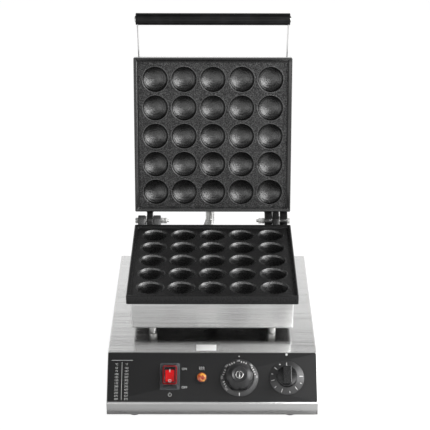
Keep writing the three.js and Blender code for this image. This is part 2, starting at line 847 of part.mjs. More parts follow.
// Cut-outs of the panel: each is a tool in the panel's own frame, where y runs up the slope and z out of it
const panel_tools = [
  block(
    [
      switch_x - switch_frame_width / 2 + switch_frame_wall - running_gap,
      -switch_middle - switch_frame_length / 2 + switch_frame_wall - running_gap,
      -overrun,
    ],
    [
      switch_x + switch_frame_width / 2 - switch_frame_wall + running_gap,
      -switch_middle + switch_frame_length / 2 - switch_frame_wall + running_gap,
      overrun,
    ],
  ),
  bar('z', lamp_neck_radius + running_gap, -overrun, overrun, [lamp_x, -panel_middle]),
  bar('z', neck_radius + running_gap, -overrun, overrun, [thermostat_x, -panel_middle]),
  bar('z', neck_radius + running_gap, -overrun, overrun, [timer_x, -panel_middle]),
];
for (const tool of panel_tools) {
  housing = cut(housing, tool.rotate([slope_angle / degree, 0, 0]).translate(0, slope_top_y, base_top_z));
}
addPiece(machine, 'base_housing', housing, brushed_steel());

const half_panel = half_base - panel_margin;
const panel_plate = raised(
  roundedRectangle(-half_panel, half_panel, -panel_length, -panel_margin, panel_margin),
  seat_gap,
  panel_face,
);
addPiece(panel, 'control_panel', cut(panel_plate, ...panel_tools), black_print());

// Bottom cover with rows of vent slots, and four rubber feet
const cover_edge = base_sheet + running_gap;
let bottom = block(
  [-half_base + cover_edge, base_front_y + cover_edge, base_bottom_z],
  [half_base - cover_edge, base_back_y - cover_edge, base_bottom_z + box_sheet],
);
for (let row = 0; row < vent_rows; row += 1) {
  for (let i = 0; i < vent_count; i += 1) {
    const x = (i - (vent_count - 1) / 2) * vent_pitch;
    const y = (row - (vent_rows - 1) / 2) * vent_row_gap;
    const slot = block(
      [x - vent_width / 2, y - vent_length / 2, base_bottom_z - overrun],
      [x + vent_width / 2, y + vent_length / 2, base_bottom_z + overrun],
    );
    bottom = cut(bottom, slot);
  }
}
addPiece(machine, 'bottom_cover', bottom, brushed_steel());
const foot_profile = [
  [0, 0],
  [foot_bottom_radius, 0],
  [foot_top_radius, foot_height / 3],
  [foot_top_radius, foot_height - seat_gap],
  [0, foot_height - seat_gap],
];
for (const [end, y] of [['front', base_front_y + foot_inset], ['back', base_back_y - foot_inset]]) {
  for (const [side, x] of [['left', -foot_x], ['right', foot_x]]) {
    addPiece(machine, `foot_${end}_${side}`, turned(foot_profile).translate(x, y, 0), black_rubber());
  }
}

// Mains switch: a raised frame with a rocker on its axle, under a clear cover with sloping walls
const frame_half_width = switch_frame_width / 2;
const frame_half_length = switch_frame_length / 2;
const frame_foot = panel_face + seat_gap;
const frame_top = panel_face + switch_frame_height;
const rocker_z = panel_face + rocker_pivot_height;
const switch_y = -switch_middle;
const body_half_width = frame_half_width - switch_frame_wall;
const body_half_length = frame_half_length - switch_frame_wall;
let switch_body = joined(
  block(
    [switch_x - frame_half_width, switch_y - frame_half_length, frame_foot],
    [switch_x + frame_half_width, switch_y + frame_half_length, frame_top],
  ),
  block(
    [switch_x - body_half_width, switch_y - body_half_length, -switch_body_depth],
    [switch_x + body_half_width, switch_y + body_half_length, frame_foot + seat_gap],
  ),
);
switch_body = cut(
  switch_body,
  block(
    [
      switch_x - rocker_width / 2 - running_gap,
      switch_y - rocker_length / 2 - 2 * running_gap,
      rocker_z - rocker_belly - running_gap,
    ],
    [
      switch_x + rocker_width / 2 + running_gap,
      switch_y + rocker_length / 2 + 2 * running_gap,
      frame_top + overrun,
    ],
  ),
  bar(
    'x',
    rocker_axle_radius + running_gap,
    switch_x - frame_half_width - overrun,
    switch_x + frame_half_width + overrun,
    [switch_y, rocker_z],
    small_sides,
  ),
);
addPiece(panel, 'switch_body', switch_body, black_plastic());

const rocker_pivot = new THREE.Group();
rocker_pivot.position.set(switch_x, switch_y, rocker_z);
rocker_pivot.rotation.x = rocker_tilt;
panel.add(rocker_pivot);
const half_rocker = rocker_length / 2;
const rocker_outline = outline([
  [-half_rocker, rocker_end_height],
  [0, rocker_middle_height],
  [half_rocker, rocker_end_height],
  [half_rocker, 0],
  [half_rocker / 2, -rocker_belly / 2],
  [0, -rocker_belly],
  [-half_rocker / 2, -rocker_belly / 2],
  [-half_rocker, 0],
].reverse());
const axle_end = rocker_width / 2 + switch_frame_wall / 2;
const rocker = joined(
  sideways(rocker_outline, -rocker_width / 2, rocker_width / 2),
  bar('x', rocker_axle_radius, -axle_end, axle_end, [0, 0], small_sides),
);
addPiece(rocker_pivot, 'switch_rocker', rocker, red_plastic());

const taper = (low_width, low_length, top_width, top_length, low, high) => {
  const geometry = new THREE.CylinderGeometry(Math.SQRT1_2, Math.SQRT1_2, 1, 4, 1).rotateY(Math.PI / 4);
  const points = geometry.attributes.position;
  for (let i = 0; i < points.count; i += 1) {
    const upper = points.getY(i) > 0;
    const x = points.getX(i) * (upper ? top_width : low_width);
    const y = -points.getZ(i) * (upper ? top_length : low_length);
    points.setXYZ(i, x, y, upper ? high : low);
  }
  return toSolid(geometry).translate(switch_x, switch_y, 0);
};
const boot_top = frame_foot + boot_height;
const boot_inside = [boot_width - 2 * boot_wall, boot_length - 2 * boot_wall];
const boot_ceiling = [boot_top_width - boot_wall, boot_top_length - boot_wall];
const boot_flare = overrun / (boot_height - boot_wall);
const boot_mouth = boot_inside.map((size, i) => size + (size - boot_ceiling[i]) * boot_flare);
const boot = cut(
  taper(boot_width, boot_length, boot_top_width, boot_top_length, frame_foot, boot_top),
  taper(...boot_mouth, ...boot_ceiling, frame_foot - overrun, boot_top - boot_wall),
);
addPiece(panel, 'switch_cover', boot, clear_rubber());

// Signal lamp: a holder through the panel and an amber lens with a stem in it
const lamp_place = [lamp_x, -panel_middle];
const flange_top = frame_foot + lamp_flange_height;
const stem_hole_bottom = flange_top - lens_stem_length - seat_gap;
const lamp_body = cut(
  joined(
    bar('z', lamp_flange_radius, frame_foot, flange_top, lamp_place),
    bar('z', lamp_neck_radius, -lamp_depth, frame_foot + seat_gap, lamp_place),
  ),
  bar('z', lens_stem_radius + running_gap, stem_hole_bottom, flange_top + overrun, lamp_place),
);
addPiece(panel, 'lamp_body', lamp_body, bright_steel());
const lens_base = flange_top + seat_gap;
const lens = turned([
  [0, -lens_stem_length],
  [lens_stem_radius, -lens_stem_length],
  [lens_stem_radius, 0],
  [lens_radius, 0],
  ...lens_shares.map(([out, up]) => [lens_radius * out, lens_height * up]),
  [0, lens_height],
]).translate(...lamp_place, lens_base);
addPiece(panel, 'lamp_lens', lens, amber_plastic());

// Thermostat and timer: a body under the panel, a neck through it, and a knob whose shaft turns in the neck
const under_panel = -base_sheet - seat_gap;
const shaft_end = panel_face - shaft_reach;
const makeNeck = (place) => bar('z', neck_radius, under_panel - overrun, panel_face, place, small_sides);
const makeShaftHole = (place) =>
  bar('z', shaft_radius + running_gap, shaft_end - seat_gap, panel_face + overrun, place, small_sides);
const knob_foot = panel_face + knob_lift;

const thermostat_place = [thermostat_x, -panel_middle];
const half_thermostat = thermostat_size / 2;
const thermostat = cut(
  joined(
    block(
      [thermostat_x - half_thermostat, -panel_middle - half_thermostat, under_panel - thermostat_depth],
      [thermostat_x + half_thermostat, -panel_middle + half_thermostat, under_panel],
    ),
    makeNeck(thermostat_place),
  ),
  makeShaftHole(thermostat_place),
);
addPiece(panel, 'thermostat', thermostat, bright_steel());

const timer_place = [timer_x, -panel_middle];
const timer = cut(
  joined(
    bar('z', timer_radius, under_panel - timer_depth, under_panel, timer_place),
    makeNeck(timer_place),
  ),
  makeShaftHole(timer_place),
);
addPiece(panel, 'timer', timer, bright_steel());

const skirt_top = thermostat_skirt_height;
const grip_top = skirt_top + thermostat_grip_height;
let thermostat_knob = turned(
  [
    [0, 0],
    [thermostat_skirt_radius, 0],
    [thermostat_skirt_radius - knob_edge, skirt_top],
    [thermostat_grip_radius, skirt_top],
    [thermostat_grip_top_radius + knob_edge, grip_top - knob_edge],
    [thermostat_grip_top_radius, grip_top],
    [thermostat_cap_radius, grip_top],
    [thermostat_cap_radius - knob_edge, grip_top + thermostat_cap_height],
    [0, grip_top + thermostat_cap_height],
  ],
  knob_sides,
);
for (let i = 0; i < thermostat_flutes; i += 1) {
  const turn = (2 * Math.PI * (i + 1 / 2)) / thermostat_flutes;
  const distance = thermostat_grip_radius + thermostat_flute_radius - thermostat_flute_bite;
  const place = [distance * Math.cos(turn), distance * Math.sin(turn)];
  thermostat_knob = cut(
    thermostat_knob,
    bar('z', thermostat_flute_radius, skirt_top, grip_top + overrun, place, small_sides),
  );
}
const makeShaft = () => bar('z', shaft_radius, shaft_end - knob_foot, seat_gap, [0, 0], small_sides);
thermostat_knob = joined(thermostat_knob, makeShaft()).translate(...thermostat_place, knob_foot);
addPiece(panel, 'thermostat_knob', thermostat_knob, black_plastic());

const hub_top = timer_skirt_height + timer_hub_height;
const bar_top = timer_skirt_height + timer_bar_height;
const timer_knob = joined(
  turned(
    [
      [0, 0],
      [timer_skirt_radius, 0],
      [timer_skirt_radius - knob_edge, timer_skirt_height],
      [timer_hub_radius, timer_skirt_height],
      [timer_hub_radius, hub_top - knob_edge],
      [timer_hub_radius - knob_edge, hub_top],
      [0, hub_top],
    ],
    knob_sides,
  ),
  raised(
    roundedRectangle(
      -timer_bar_width / 2,
      timer_bar_width / 2,
      -timer_bar_length / 2,
      timer_bar_length / 2,
      2 * knob_edge,
    ),
    timer_skirt_height,
    bar_top,
  ),
  makeShaft(),
);
addPiece(panel, 'timer_knob', timer_knob.translate(...timer_place, knob_foot), black_plastic());

// Glands: a collar and a socket for the hose, with a threaded neck through the wall of box or cover
const gland = turned([
  [conduit_bore, -box_sheet - gland_neck_length],
  [gland_neck_radius, -box_sheet - gland_neck_length],
  [gland_neck_radius, seat_gap],
  [gland_collar_radius, seat_gap],
  [gland_collar_radius, seat_gap + gland_collar_height],
  [gland_radius, seat_gap + gland_collar_height],
  [gland_radius, gland_height],
  [conduit_radius + running_gap, gland_height],
  [conduit_radius + running_gap, gland_height - gland_socket_depth],
  [conduit_bore, gland_height - gland_socket_depth],
  [conduit_bore, -box_sheet - gland_neck_length],
]).rotate([-90, 0, 0]);
const box_gland = gland.translate(conduit_box_x, box_depth / 2, box_gland_z);
addPiece(lower_head, 'conduit_gland_box', box_gland, bright_steel());
const lid_gland = gland.translate(-conduit_lid_x, box_depth / 2, conduit_wall_z);
addPiece(upper_head, 'conduit_gland_lid', lid_gland, bright_steel());

const cord_gland = turned([
  [cord_bore_radius, -cord_gland_nose_length],
  [cord_gland_neck_radius, -cord_gland_nose_length],
  [cord_gland_neck_radius, seat_gap],
  [cord_gland_radius, seat_gap],
  [cord_gland_radius, seat_gap + cord_gland_flange],
  [cord_gland_nose_radius, seat_gap + cord_gland_flange],
  [cord_bore_radius + cord_gland_flange / 2, cord_gland_nose_length],
  [cord_bore_radius, cord_gland_nose_length],
  [cord_bore_radius, -cord_gland_nose_length],
])
  .rotate([-90, 0, 0])
  .translate(cord_gland_x, base_back_y, cord_gland_z);
addPiece(machine, 'cord_gland', cord_gland, black_plastic());

// Wiring conduit: a ribbed metal hose from the box's back wall, round behind the hinge, into the lid's gland
function makeConduit() {
  machine.updateMatrixWorld(true);
  const socket = box_depth / 2 + gland_height - gland_socket_depth + seat_gap;
  const clear_of_gland = socket + gland_socket_depth + 2 * conduit_radius;
  const bend_end = clear_of_gland + conduit_radius;
  const at_box = (y) => lower_head.localToWorld(new THREE.Vector3(conduit_box_x, y, box_gland_z));
  const at_lid = (y) => upper_head.localToWorld(new THREE.Vector3(-conduit_lid_x, y, conduit_wall_z));
  const middle = at_box(bend_end).lerp(at_lid(bend_end), 1 / 2);
  middle.add(new THREE.Vector3(0, conduit_bulge, -conduit_bulge / 2));
  const route = new THREE.CatmullRomCurve3(
    [
      at_box(socket),
      at_box(clear_of_gland),
      at_box(bend_end),
      middle,
      at_lid(bend_end),
      at_lid(clear_of_gland),
      at_lid(socket),
    ],
    false,
    'centripetal',
  );
  const ribs = Math.round(route.getLength() / conduit_rib_pitch);
  const rings = 2 * ribs;
  const frames = route.computeFrenetFrames(rings, false);
  const corners = [];
  const ring = (at, radius) => {
    const centre = route.getPointAt(at / rings);
    const first = corners.length / 3;
    for (let i = 0; i < conduit_sides; i += 1) {
      const turn = (2 * Math.PI * i) / conduit_sides;
      const point = centre
        .clone()
        .addScaledVector(frames.normals[at], radius * Math.cos(turn))
        .addScaledVector(frames.binormals[at], radius * Math.sin(turn));
      corners.push(point.x, point.y, point.z);
    }
    return first;
  };
  const faces = [];
  const band = (one, other) => {
    for (let i = 0; i < conduit_sides; i += 1) {
      const next = (i + 1) % conduit_sides;
      faces.push(one + i, one + next, other + next, one + i, other + next, other + i);
    }
  };
  const outside = [];
  for (let at = 0; at <= rings; at += 1) {
    outside.push(ring(at, at % 2 === 0 ? conduit_radius : conduit_radius - conduit_groove));
  }
  const inside = [];
  for (let at = 0; at < rings; at += 2 * ribs_per_bore_ring) {
    inside.push(ring(at, conduit_bore));
  }
  inside.push(ring(rings, conduit_bore));
  outside.slice(1).forEach((here, i) => band(outside[i], here));
  inside.slice(1).forEach((here, i) => band(here, inside[i]));
  band(inside[0], outside[0]);
  band(outside[outside.length - 1], inside[inside.length - 1]);
  const geometry = new THREE.BufferGeometry();
  geometry.setAttribute('position', new THREE.BufferAttribute(Float32Array.from(corners), 3));
  geometry.setIndex(faces);
  return toSolid(geometry);
}
addPiece(machine, 'conduit', makeConduit(), bright_steel());

// The machine stands on z = 0, with its middle over the origin
const extent = new THREE.Box3().setFromObject(machine, true);
const centre = extent.getCenter(new THREE.Vector3());
machine.position.set(-centre.x, -centre.y, -extent.min.z);

export default machine;
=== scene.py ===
"""A poffertjes maker with its lid open: two dark castings with hollows, on a steel base and in a cover."""
import json
import math

import bmesh
import bpy
import numpy as np
from mathutils import Matrix, Vector


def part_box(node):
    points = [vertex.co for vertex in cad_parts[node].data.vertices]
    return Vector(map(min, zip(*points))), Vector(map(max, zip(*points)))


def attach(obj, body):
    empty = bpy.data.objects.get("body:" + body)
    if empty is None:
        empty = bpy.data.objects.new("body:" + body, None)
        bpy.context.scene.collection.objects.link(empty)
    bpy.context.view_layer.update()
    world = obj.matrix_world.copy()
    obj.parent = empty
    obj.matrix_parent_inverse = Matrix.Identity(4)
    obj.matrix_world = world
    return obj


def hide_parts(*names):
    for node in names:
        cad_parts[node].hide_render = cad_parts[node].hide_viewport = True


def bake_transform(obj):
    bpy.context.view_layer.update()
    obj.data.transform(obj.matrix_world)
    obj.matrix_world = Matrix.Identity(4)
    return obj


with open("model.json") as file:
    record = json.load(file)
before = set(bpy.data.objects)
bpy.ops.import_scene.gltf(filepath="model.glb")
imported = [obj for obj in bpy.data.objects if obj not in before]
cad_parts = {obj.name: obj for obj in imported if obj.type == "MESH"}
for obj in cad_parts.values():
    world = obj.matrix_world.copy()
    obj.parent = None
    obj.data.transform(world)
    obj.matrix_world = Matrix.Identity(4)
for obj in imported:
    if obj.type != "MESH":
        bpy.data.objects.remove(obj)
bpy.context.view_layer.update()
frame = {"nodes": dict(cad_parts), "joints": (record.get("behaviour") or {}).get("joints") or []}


# Base housing: one stainless sheet, 1.5 mm thick, folded into an upright lip, a slope for the controls, a
# flat top and a back wall, with its two side walls welded on. Its grain runs across the machine, and every
# fold is rounded.

def eased(corners, radii, steps=5):
    """A line through corner points, with an arc at each corner that touches both its sides."""
    corners = np.asarray(corners, float)
    line = [corners[:1]]
    for before, corner, after, radius in zip(corners[:-2], corners[1:-1], corners[2:], radii):
        back, on = before - corner, after - corner
        long_back, long_on = np.linalg.norm(back), np.linalg.norm(on)
        back, on = back / long_back, on / long_on
        half = np.arccos(back @ on) / 2
        touch = min(radius / np.tan(half), 0.49 * long_back, 0.49 * long_on)
        start, end = corner + back * touch, corner + on * touch
        middle = corner + (back + on) / np.linalg.norm(back + on) * touch / np.cos(half)
        spoke = np.linspace(start - middle, end - middle, steps)
        length = np.linalg.norm(start - middle)
        line.append(middle + spoke / np.linalg.norm(spoke, axis=1, keepdims=True) * length)
    return np.concatenate(line + [corners[-1:]])


scene = bpy.context.scene


def build(name, grids, flats=(), sharp=32, weld=1e-6):
    """One mesh from grids of points in millimetres, whose neighbours make four-sided faces, and from flat
    outlines, each of which makes one face."""
    points, faces, start = [], [], 0
    for grid in grids:
        rows, columns = grid.shape[:2]
        index = start + np.arange(rows * columns).reshape(rows, columns)
        quads = np.stack([index[:-1, :-1], index[1:, :-1], index[1:, 1:], index[:-1, 1:]], -1)
        faces += quads.reshape(-1, 4).tolist()
        points.append(grid.reshape(-1, 3))
        start += rows * columns
    for flat in flats:
        faces.append(list(range(start, start + len(flat))))
        points.append(flat)
        start += len(flat)
    mesh = bpy.data.meshes.new(name)
    mesh.from_pydata((np.concatenate(points) / 1000).tolist(), [], faces)
    work = bmesh.new()
    work.from_mesh(mesh)
    bmesh.ops.remove_doubles(work, verts=work.verts, dist=weld)
    bmesh.ops.recalc_face_normals(work, faces=work.faces)
    work.to_mesh(mesh)
    work.free()
    mesh.shade_smooth()
    mesh.set_sharp_from_angle(angle=math.radians(sharp))
    piece = bpy.data.objects.new(name, mesh)
    scene.collection.objects.link(piece)
    return piece


def fit(piece, matrix, material, body, slot, *nodes):
    """Carries a piece's mesh to its place, gives it its finish and its body, and hides the solids that it
    stands for. The slot is not used."""
    piece.data.transform(matrix)
    piece.data.materials.append(material)
    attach(piece, body)
    if nodes:
        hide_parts(*nodes)


def put(tree, field, value):
    """Links a signal to a socket or sets the socket's value."""
    if isinstance(value, Signal):
        tree.links.new(value.socket, field)
    else:
        field.default_value = value


class Signal:
    """A socket that arithmetic is written with: each operator adds its Math node."""

    def __init__(self, tree, socket):
        self.tree, self.socket = tree, socket

    def math(self, operation, *values):
        """The Math node of an operation on numbers and signals."""
        node = self.tree.nodes.new("ShaderNodeMath")
        node.operation = operation
        for field, value in zip(node.inputs, values):
            put(self.tree, field, value)
        return Signal(self.tree, node.outputs[0])

    def __rsub__(self, other):
        return self.math("SUBTRACT", other, self)

    def __abs__(self):
        return self.math("ABSOLUTE", self)


for symbol, operation in {
    "__add__": "ADD", "__radd__": "ADD", "__sub__": "SUBTRACT", "__mul__": "MULTIPLY", "__rmul__": "MULTIPLY",
    "__truediv__": "DIVIDE", "__pow__": "POWER", "__gt__": "GREATER_THAN", "__lt__": "LESS_THAN",
    "most": "MAXIMUM",
}.items():
    setattr(Signal, symbol, lambda one, other, operation=operation: one.math(operation, one, other))


class Finish:
    """A material while it is made: a Principled surface and the nodes that vary it."""

    def __init__(self, name, **constants):
        self.material = bpy.data.materials.new(name)
        self.material.use_nodes = True
        self.tree = self.material.node_tree
        self.surface = self.tree.nodes["Principled BSDF"]
        self.feed(**constants)

    def node(self, kind, sockets=None, out=0, **settings):
        """A node of any type: its settings first, then the values or links of its sockets, and one output."""
        made = self.tree.nodes.new(f"ShaderNode{kind}")
        for name, value in settings.items():
            setattr(made, name, value)
        for name, value in (sockets or {}).items():
            put(self.tree, made.inputs[name], value)
        return Signal(self.tree, made.outputs[out])

    def feed(self, **values):
        """Sets or links sockets of the surface and returns the material."""
        for name, value in values.items():
            put(self.tree, self.surface.inputs[name.replace("_", " ")], value)
        return self.material

    def skin(self, shade, dull, relief, bumps, low, high):
        """A colour, a roughness that one signal moves from low to high, and the bumps of another signal."""
        normal = self.bump(relief, *bumps)
        return self.feed(Base_Color=shade, Roughness=self.range(dull, low, high), Normal=normal)

    def noise(self, scale, detail=4, rough=0.55):
        """Noise in object coordinates, with one scale or a scale along each axis."""
        stretch = scale if isinstance(scale, list) else [scale] * 3
        where = self.node("Mapping", {"Vector": self.node("TexCoord", out="Object"), "Scale": stretch})
        return self.node("TexNoise", {"Vector": where, "Scale": 1, "Detail": detail, "Roughness": rough})

    def range(self, amount, low, high, start=0.0, end=1.0):
        return self.node("MapRange", {0: amount, 1: start, 2: end, 3: low, 4: high})

    def ramp(self, amount, *stops):
        made = self.node("ValToRGB", {"Fac": amount})
        elements = made.socket.node.color_ramp.elements
        while len(elements) < len(stops):
            elements.new(0.5)
        for element, (position, tone) in zip(elements, stops):
            element.position, element.color = position, (*tone, 1)
        return made

    def blend(self, factor, *tones):
        """A colour between two, by a factor. A tone is a signal, a grey or a colour."""
        fields = {0: factor}
        for place, tone in zip((6, 7), tones):
            fields[place] = tone if isinstance(tone, Signal) else (*np.broadcast_to(tone, 3), 1)
        return self.node("Mix", fields, 2, data_type="RGBA")

    def parts(self, output):
        """The three parts of a texture coordinate."""
        split = self.node("SeparateXYZ", {0: self.node("TexCoord", out=output)}).socket.node
        return [Signal(self.tree, part) for part in split.outputs]

    def own(self):
        """The surface's own normal."""
        return self.node("NewGeometry", out=1)

    def vector(self, operation, *values, out=0, **named):
        return self.node("VectorMath", {**dict(enumerate(values)), **named}, out, operation=operation)

    def leaned(self, way, amount):
        """The surface's own normal, leaned one way by an amount, as the sides of fine tool marks are."""
        tilt = self.vector("SCALE", way, Scale=amount)
        return self.vector("NORMALIZE", self.vector("ADD", self.own(), tilt))

    def across(self, axis):
        """The way across a grain that runs along an axis of the body: axis x normal."""
        kinds = {"vector_type": "VECTOR", "convert_from": "OBJECT", "convert_to": "WORLD"}
        return self.vector("CROSS_PRODUCT", self.node("VectorTransform", {0: axis}, **kinds), self.own())

    def down_slope(self, axis):
        """The way straight down the side of a bowl turned about an axis: normal x (axis x normal)."""
        return self.vector("NORMALIZE", self.vector("CROSS_PRODUCT", self.own(), self.across(axis)))

    def bump(self, height, distance, strength=1.0, **over):
        return self.node("Bump", {"Height": height, "Distance": distance, "Strength": strength, **over})


def mottled(name, patches, stops, rough, bumps, grain=None, **constants):
    """A plain surface that is a little uneven: noise moves its colour and its roughness, and the same noise
    or a finer grain gives it small bumps."""
    finish = Finish(name, **constants)
    cloud = finish.noise(*patches)
    relief = finish.noise(*grain) if grain else cloud
    return finish.skin(finish.ramp(cloud, *stops), cloud, relief, bumps, *rough)


def brushed(name, along, pale, dark, low, high, fine=9000, blur=0.75, foot=None):
    """Brushed stainless sheet: fine lines along one axis, or along y on walls that face it, broader bands and
    faint patches. The lines lean the normal, which draws reflections out across them. A box's foot, given as
    (half width, height), adds painted shade, a dark tone on faces that point down, and painted highlights, a
    white tone on the outermost millimetre at each side and below that height."""
    finish = Finish(name, Metallic=1.0)
    side = abs(finish.node("SeparateXYZ", {0: finish.own()}, along)) > 0.8

    def lines(fineness, drawn, detail):
        pair = []
        for axis in (along, 1):
            stretch = [fineness] * 3
            stretch[axis] = drawn
            pair.append(finish.noise(stretch, detail))
        return pair[0] * (1 - side) + pair[1] * side

    grain = lines(fine, 6, 0)
    mixed = grain * 0.3 + lines(fine / 5, 3, 2) * 0.16 + finish.noise(9, 5) * 0.3 + 0.12
    tone = finish.ramp(mixed, (0.38, dark), (0.62, pale))
    rough = finish.range(mixed, high, low, 0.3, 0.7)
    if foot:
        up = finish.parts("Normal")[2]
        x, y, z = finish.parts("Object")
        # Painted shade: faces that point down are dark. Painted highlights: the outermost millimetre at each
        # side and the band below the foot's height are white and a little rougher.
        tone = finish.blend(up < -0.7, tone, (0.03, 0.028, 0.026))
        painted_edge_highlight = (abs(x) > foot[0]).most(z < foot[1]) * (up > -0.7)
        tone = finish.blend(painted_edge_highlight, tone, 1)
        rough = rough + painted_edge_highlight * 0.2
    across = [finish.across([float(index == axis) for index in range(3)]) for axis in (along, 1)]
    ways = [finish.vector("SCALE", way, Scale=share) for way, share in zip(across, (1 - side, side))]
    lean = finish.leaned(finish.vector("ADD", *ways), (grain - 0.5) * blur)
    return finish.feed(Base_Color=tone, Roughness=rough, Normal=lean)


def box_mm(node):
    return [np.array(corner) * 1000 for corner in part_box(node)]


sheet_steel = brushed(
    "brushed stainless sheet", 0, (0.69, 0.69, 0.685), (0.65, 0.65, 0.646), 0.18, 0.23, blur=0.5,
)
(base_left, base_front, base_bottom), (base_right, base_back, base_top) = box_mm("base_housing")
slope_length, fold = 82.5, 2.0
slope_run = slope_length * math.sqrt(0.5)
slope_top, lip_top = base_front + slope_run, base_top - slope_run


def section(x, inset):
    """The housing's side outline at x, drawn in by a distance, with its folds rounded."""
    mitre = math.tan(math.radians(22.5)) * inset
    corners = [
        (base_front + inset, base_bottom),
        (base_front + inset, lip_top - mitre),
        (slope_top + mitre, base_top - inset),
        (base_back - inset, base_top - inset),
        (base_back - inset, base_bottom),
    ]
    return np.insert(eased(corners, [max(fold - inset, 0.2)] * 3, 7), 0, x, axis=1)


def side_foot(x):
    """The lower edge of a side wall, with a point for each point of the section."""
    return np.linspace((x, base_front, base_bottom), (x, base_back, base_bottom), len(section(x, 0)))


bow = [(fold * (1 - math.sin(a)), fold * (1 - math.cos(a))) for a in np.radians(np.linspace(0, 90, 6))]
rows = [side_foot(base_left)] + [section(base_left + reach, inset) for inset, reach in bow]
rows += [section(base_right - reach, inset) for inset, reach in bow[::-1]] + [side_foot(base_right)]
housing = build("base_sheet", [np.array(rows)])
wall = housing.modifiers.new("sheet thickness", "SOLIDIFY")
wall.thickness, wall.offset = 0.0015, -1
fit(housing, Matrix(), sheet_steel, "base", "brushed_sheet", "base_housing")


# Bottom cover and what hangs inside the base: a vented sheet held in the housing's foot, with the bodies of
# the thermostat and the timer behind the slope.

def keep(material, *nodes):
    """Solids whose shape is right stay, with a better finish."""
    for node in nodes:
        mesh = frame["nodes"][node].data
        mesh.materials.clear()
        mesh.materials.append(material)


def plated(name, tone, low_rough, high_rough, metal=1.0):
    """Turned and plated steel: fine tool marks, a little uneven in gloss, and a soft grey bloom in places."""
    finish = Finish(name, Metallic=metal)
    marks, bloom = finish.noise(1040, 2), finish.noise(260, 5)
    shade = finish.ramp(bloom, (0.3, [0.78 * part for part in tone]), (0.62, tone))
    return finish.skin(shade, bloom * 0.6 + marks * 0.4, marks, (0.00002, 0.4), low_rough, high_rough)


plain_sheet = brushed("plain inner sheet", 0, (0.58, 0.58, 0.575), (0.46, 0.46, 0.455), 0.3, 0.42, fine=700)
bright_steel = plated("bright plated steel", (0.74, 0.74, 0.73), 0.12, 0.3)
keep(plain_sheet, "bottom_cover")
keep(plated("dull plated steel", (0.5, 0.5, 0.49), 0.3, 0.5), "thermostat", "timer")


# Rubber feet: moulded black rubber, screwed to the bottom cover, with a rounded rim and a slight taper. They
# are dusty and matt, with a fine pebbled skin.

def turned(profile, steps=64, flutes=None):
    """A profile of [radius, height] points carried round the z axis: x = r cos v, y = r sin v, where flutes,
    a function of the profile and v, draw the radius in."""
    profile = np.asarray(profile, float)
    angle = np.linspace(0, 2 * math.pi, steps + 1)[None, :]
    radius, height = (np.repeat(profile[:, k:k + 1], steps + 1, axis=1) for k in (0, 1))
    if flutes:
        radius = radius - flutes(profile, angle)
    return np.stack([radius * np.cos(angle), radius * np.sin(angle), height], -1)


def foot_of(node):
    """The matrix that moves to the middle of the foot of a solid's box, and the box's height in mm."""
    low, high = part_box(node)
    return Matrix.Translation(((low.x + high.x) / 2, (low.y + high.y) / 2, low.z)), (high.z - low.z) * 1000


dusty = [(0.35, (0.018, 0.018, 0.018)), (0.75, (0.07, 0.07, 0.068))]
foot_rubber = mottled("moulded black rubber", (60,), dusty, (0.62, 0.78), (0.00008, 0.5), (1400, 3))
for node in ("foot_front_left", "foot_front_right", "foot_back_left", "foot_back_right"):
    foot, tall = foot_of(node)
    outline = [(0, 0), (10.4, 0), (12.5, 3.3), (12.5, tall), (0, tall)]
    rubber = build(f"rubber_{node}", [turned(eased(outline, [0.8, 2, 0.6]), 40)])
    fit(rubber, foot, foot_rubber, "base", "foot_rubber", node)


# Cord gland: a black nylon nut and sleeve in the back wall, with a hexagon for the spanner and a bore for the
# cord. The nylon is smooth, with a faint grain, and slightly greyer where it is worn.

def moulded_black(name, tone=(0.012, 0.012, 0.013), rough=0.32, **constants):
    """Moulded black plastic with a faint spark-eroded grain, slightly greyer where hands polish it."""
    stops = [(0.4, tone), (0.8, [part * 2.2 + 0.004 for part in tone])]
    uneven = (rough - 0.07, rough + 0.09)
    return mottled(name, (45, 5), stops, uneven, (0.00003, 0.5), (2200, 2), Coat_Roughness=0.12, **constants)


def spanner_flats(radius, cap):
    """Six flats on a collar, which draw it in by r (1 - cos 30 / cos t) up to a cap, t being the angle from
    the middle of a flat. The collar is what lies within 1 mm of the radius."""
    def flats(profile, angle):
        t = np.mod(angle, math.pi / 3) - math.pi / 6
        cut = radius - radius * math.cos(math.pi / 6) / np.cos(t)
        return (profile[:, :1] > radius - 1) * np.clip(cut, 0, cap)
    return flats


def spin(degrees, axis):
    return Matrix.Rotation(math.radians(degrees), 4, axis)


low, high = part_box("cord_gland")
at_wall = Matrix.Translation(((low.x + high.x) / 2, base_back / 1000, (low.z + high.z) / 2)) @ spin(-90, "X")
outline = [(4, -14), (9.5, -14), (9.5, 0.2), (12, 0.3), (12, 3.3), (9.2, 3.8), (7.5, 13.9), (4, 13.9)]
outline = eased(outline + outline[:1], [0.4] * 7, 3)
cord_gland = build("cord_gland_nut", [turned(outline, 72, spanner_flats(12, 1.3))])
fit(cord_gland, at_wall, moulded_black("black nylon", rough=0.42), "base", "black_plastic", "cord_gland")


# Posts between base and box: four bright turned spacers, and a wider tube through which the wires go up. The
# long bolts inside them hold box and casting down.

quarters = [("front_left", -1, -1), ("front_right", 1, -1), ("back_left", -1, 1), ("back_right", 1, 1)]
post_steel = plated("turned post steel", (0.5, 0.5, 0.49), 0.3, 0.42)
posts = [(f"turned_post_{name}", f"post_{name}", 3.3, 6.5, post_steel) for name, x, y in quarters]
for name, node, bore, radius, steel in posts + [("wire_sleeve", "wire_tube", 6.5, 9, bright_steel)]:
    foot, tall = foot_of(node)
    outline = [(bore, 0), (radius, 0), (radius, tall), (bore, tall), (bore, 0)]
    post = build(name, [turned(eased(outline, [0.5, 0.5, 0.2], 3), 48)])
    fit(post, foot, steel, "base", "bright_hardware", node)
keep(bright_steel, *[f"post_bolt_{name}" for name, x, y in quarters])
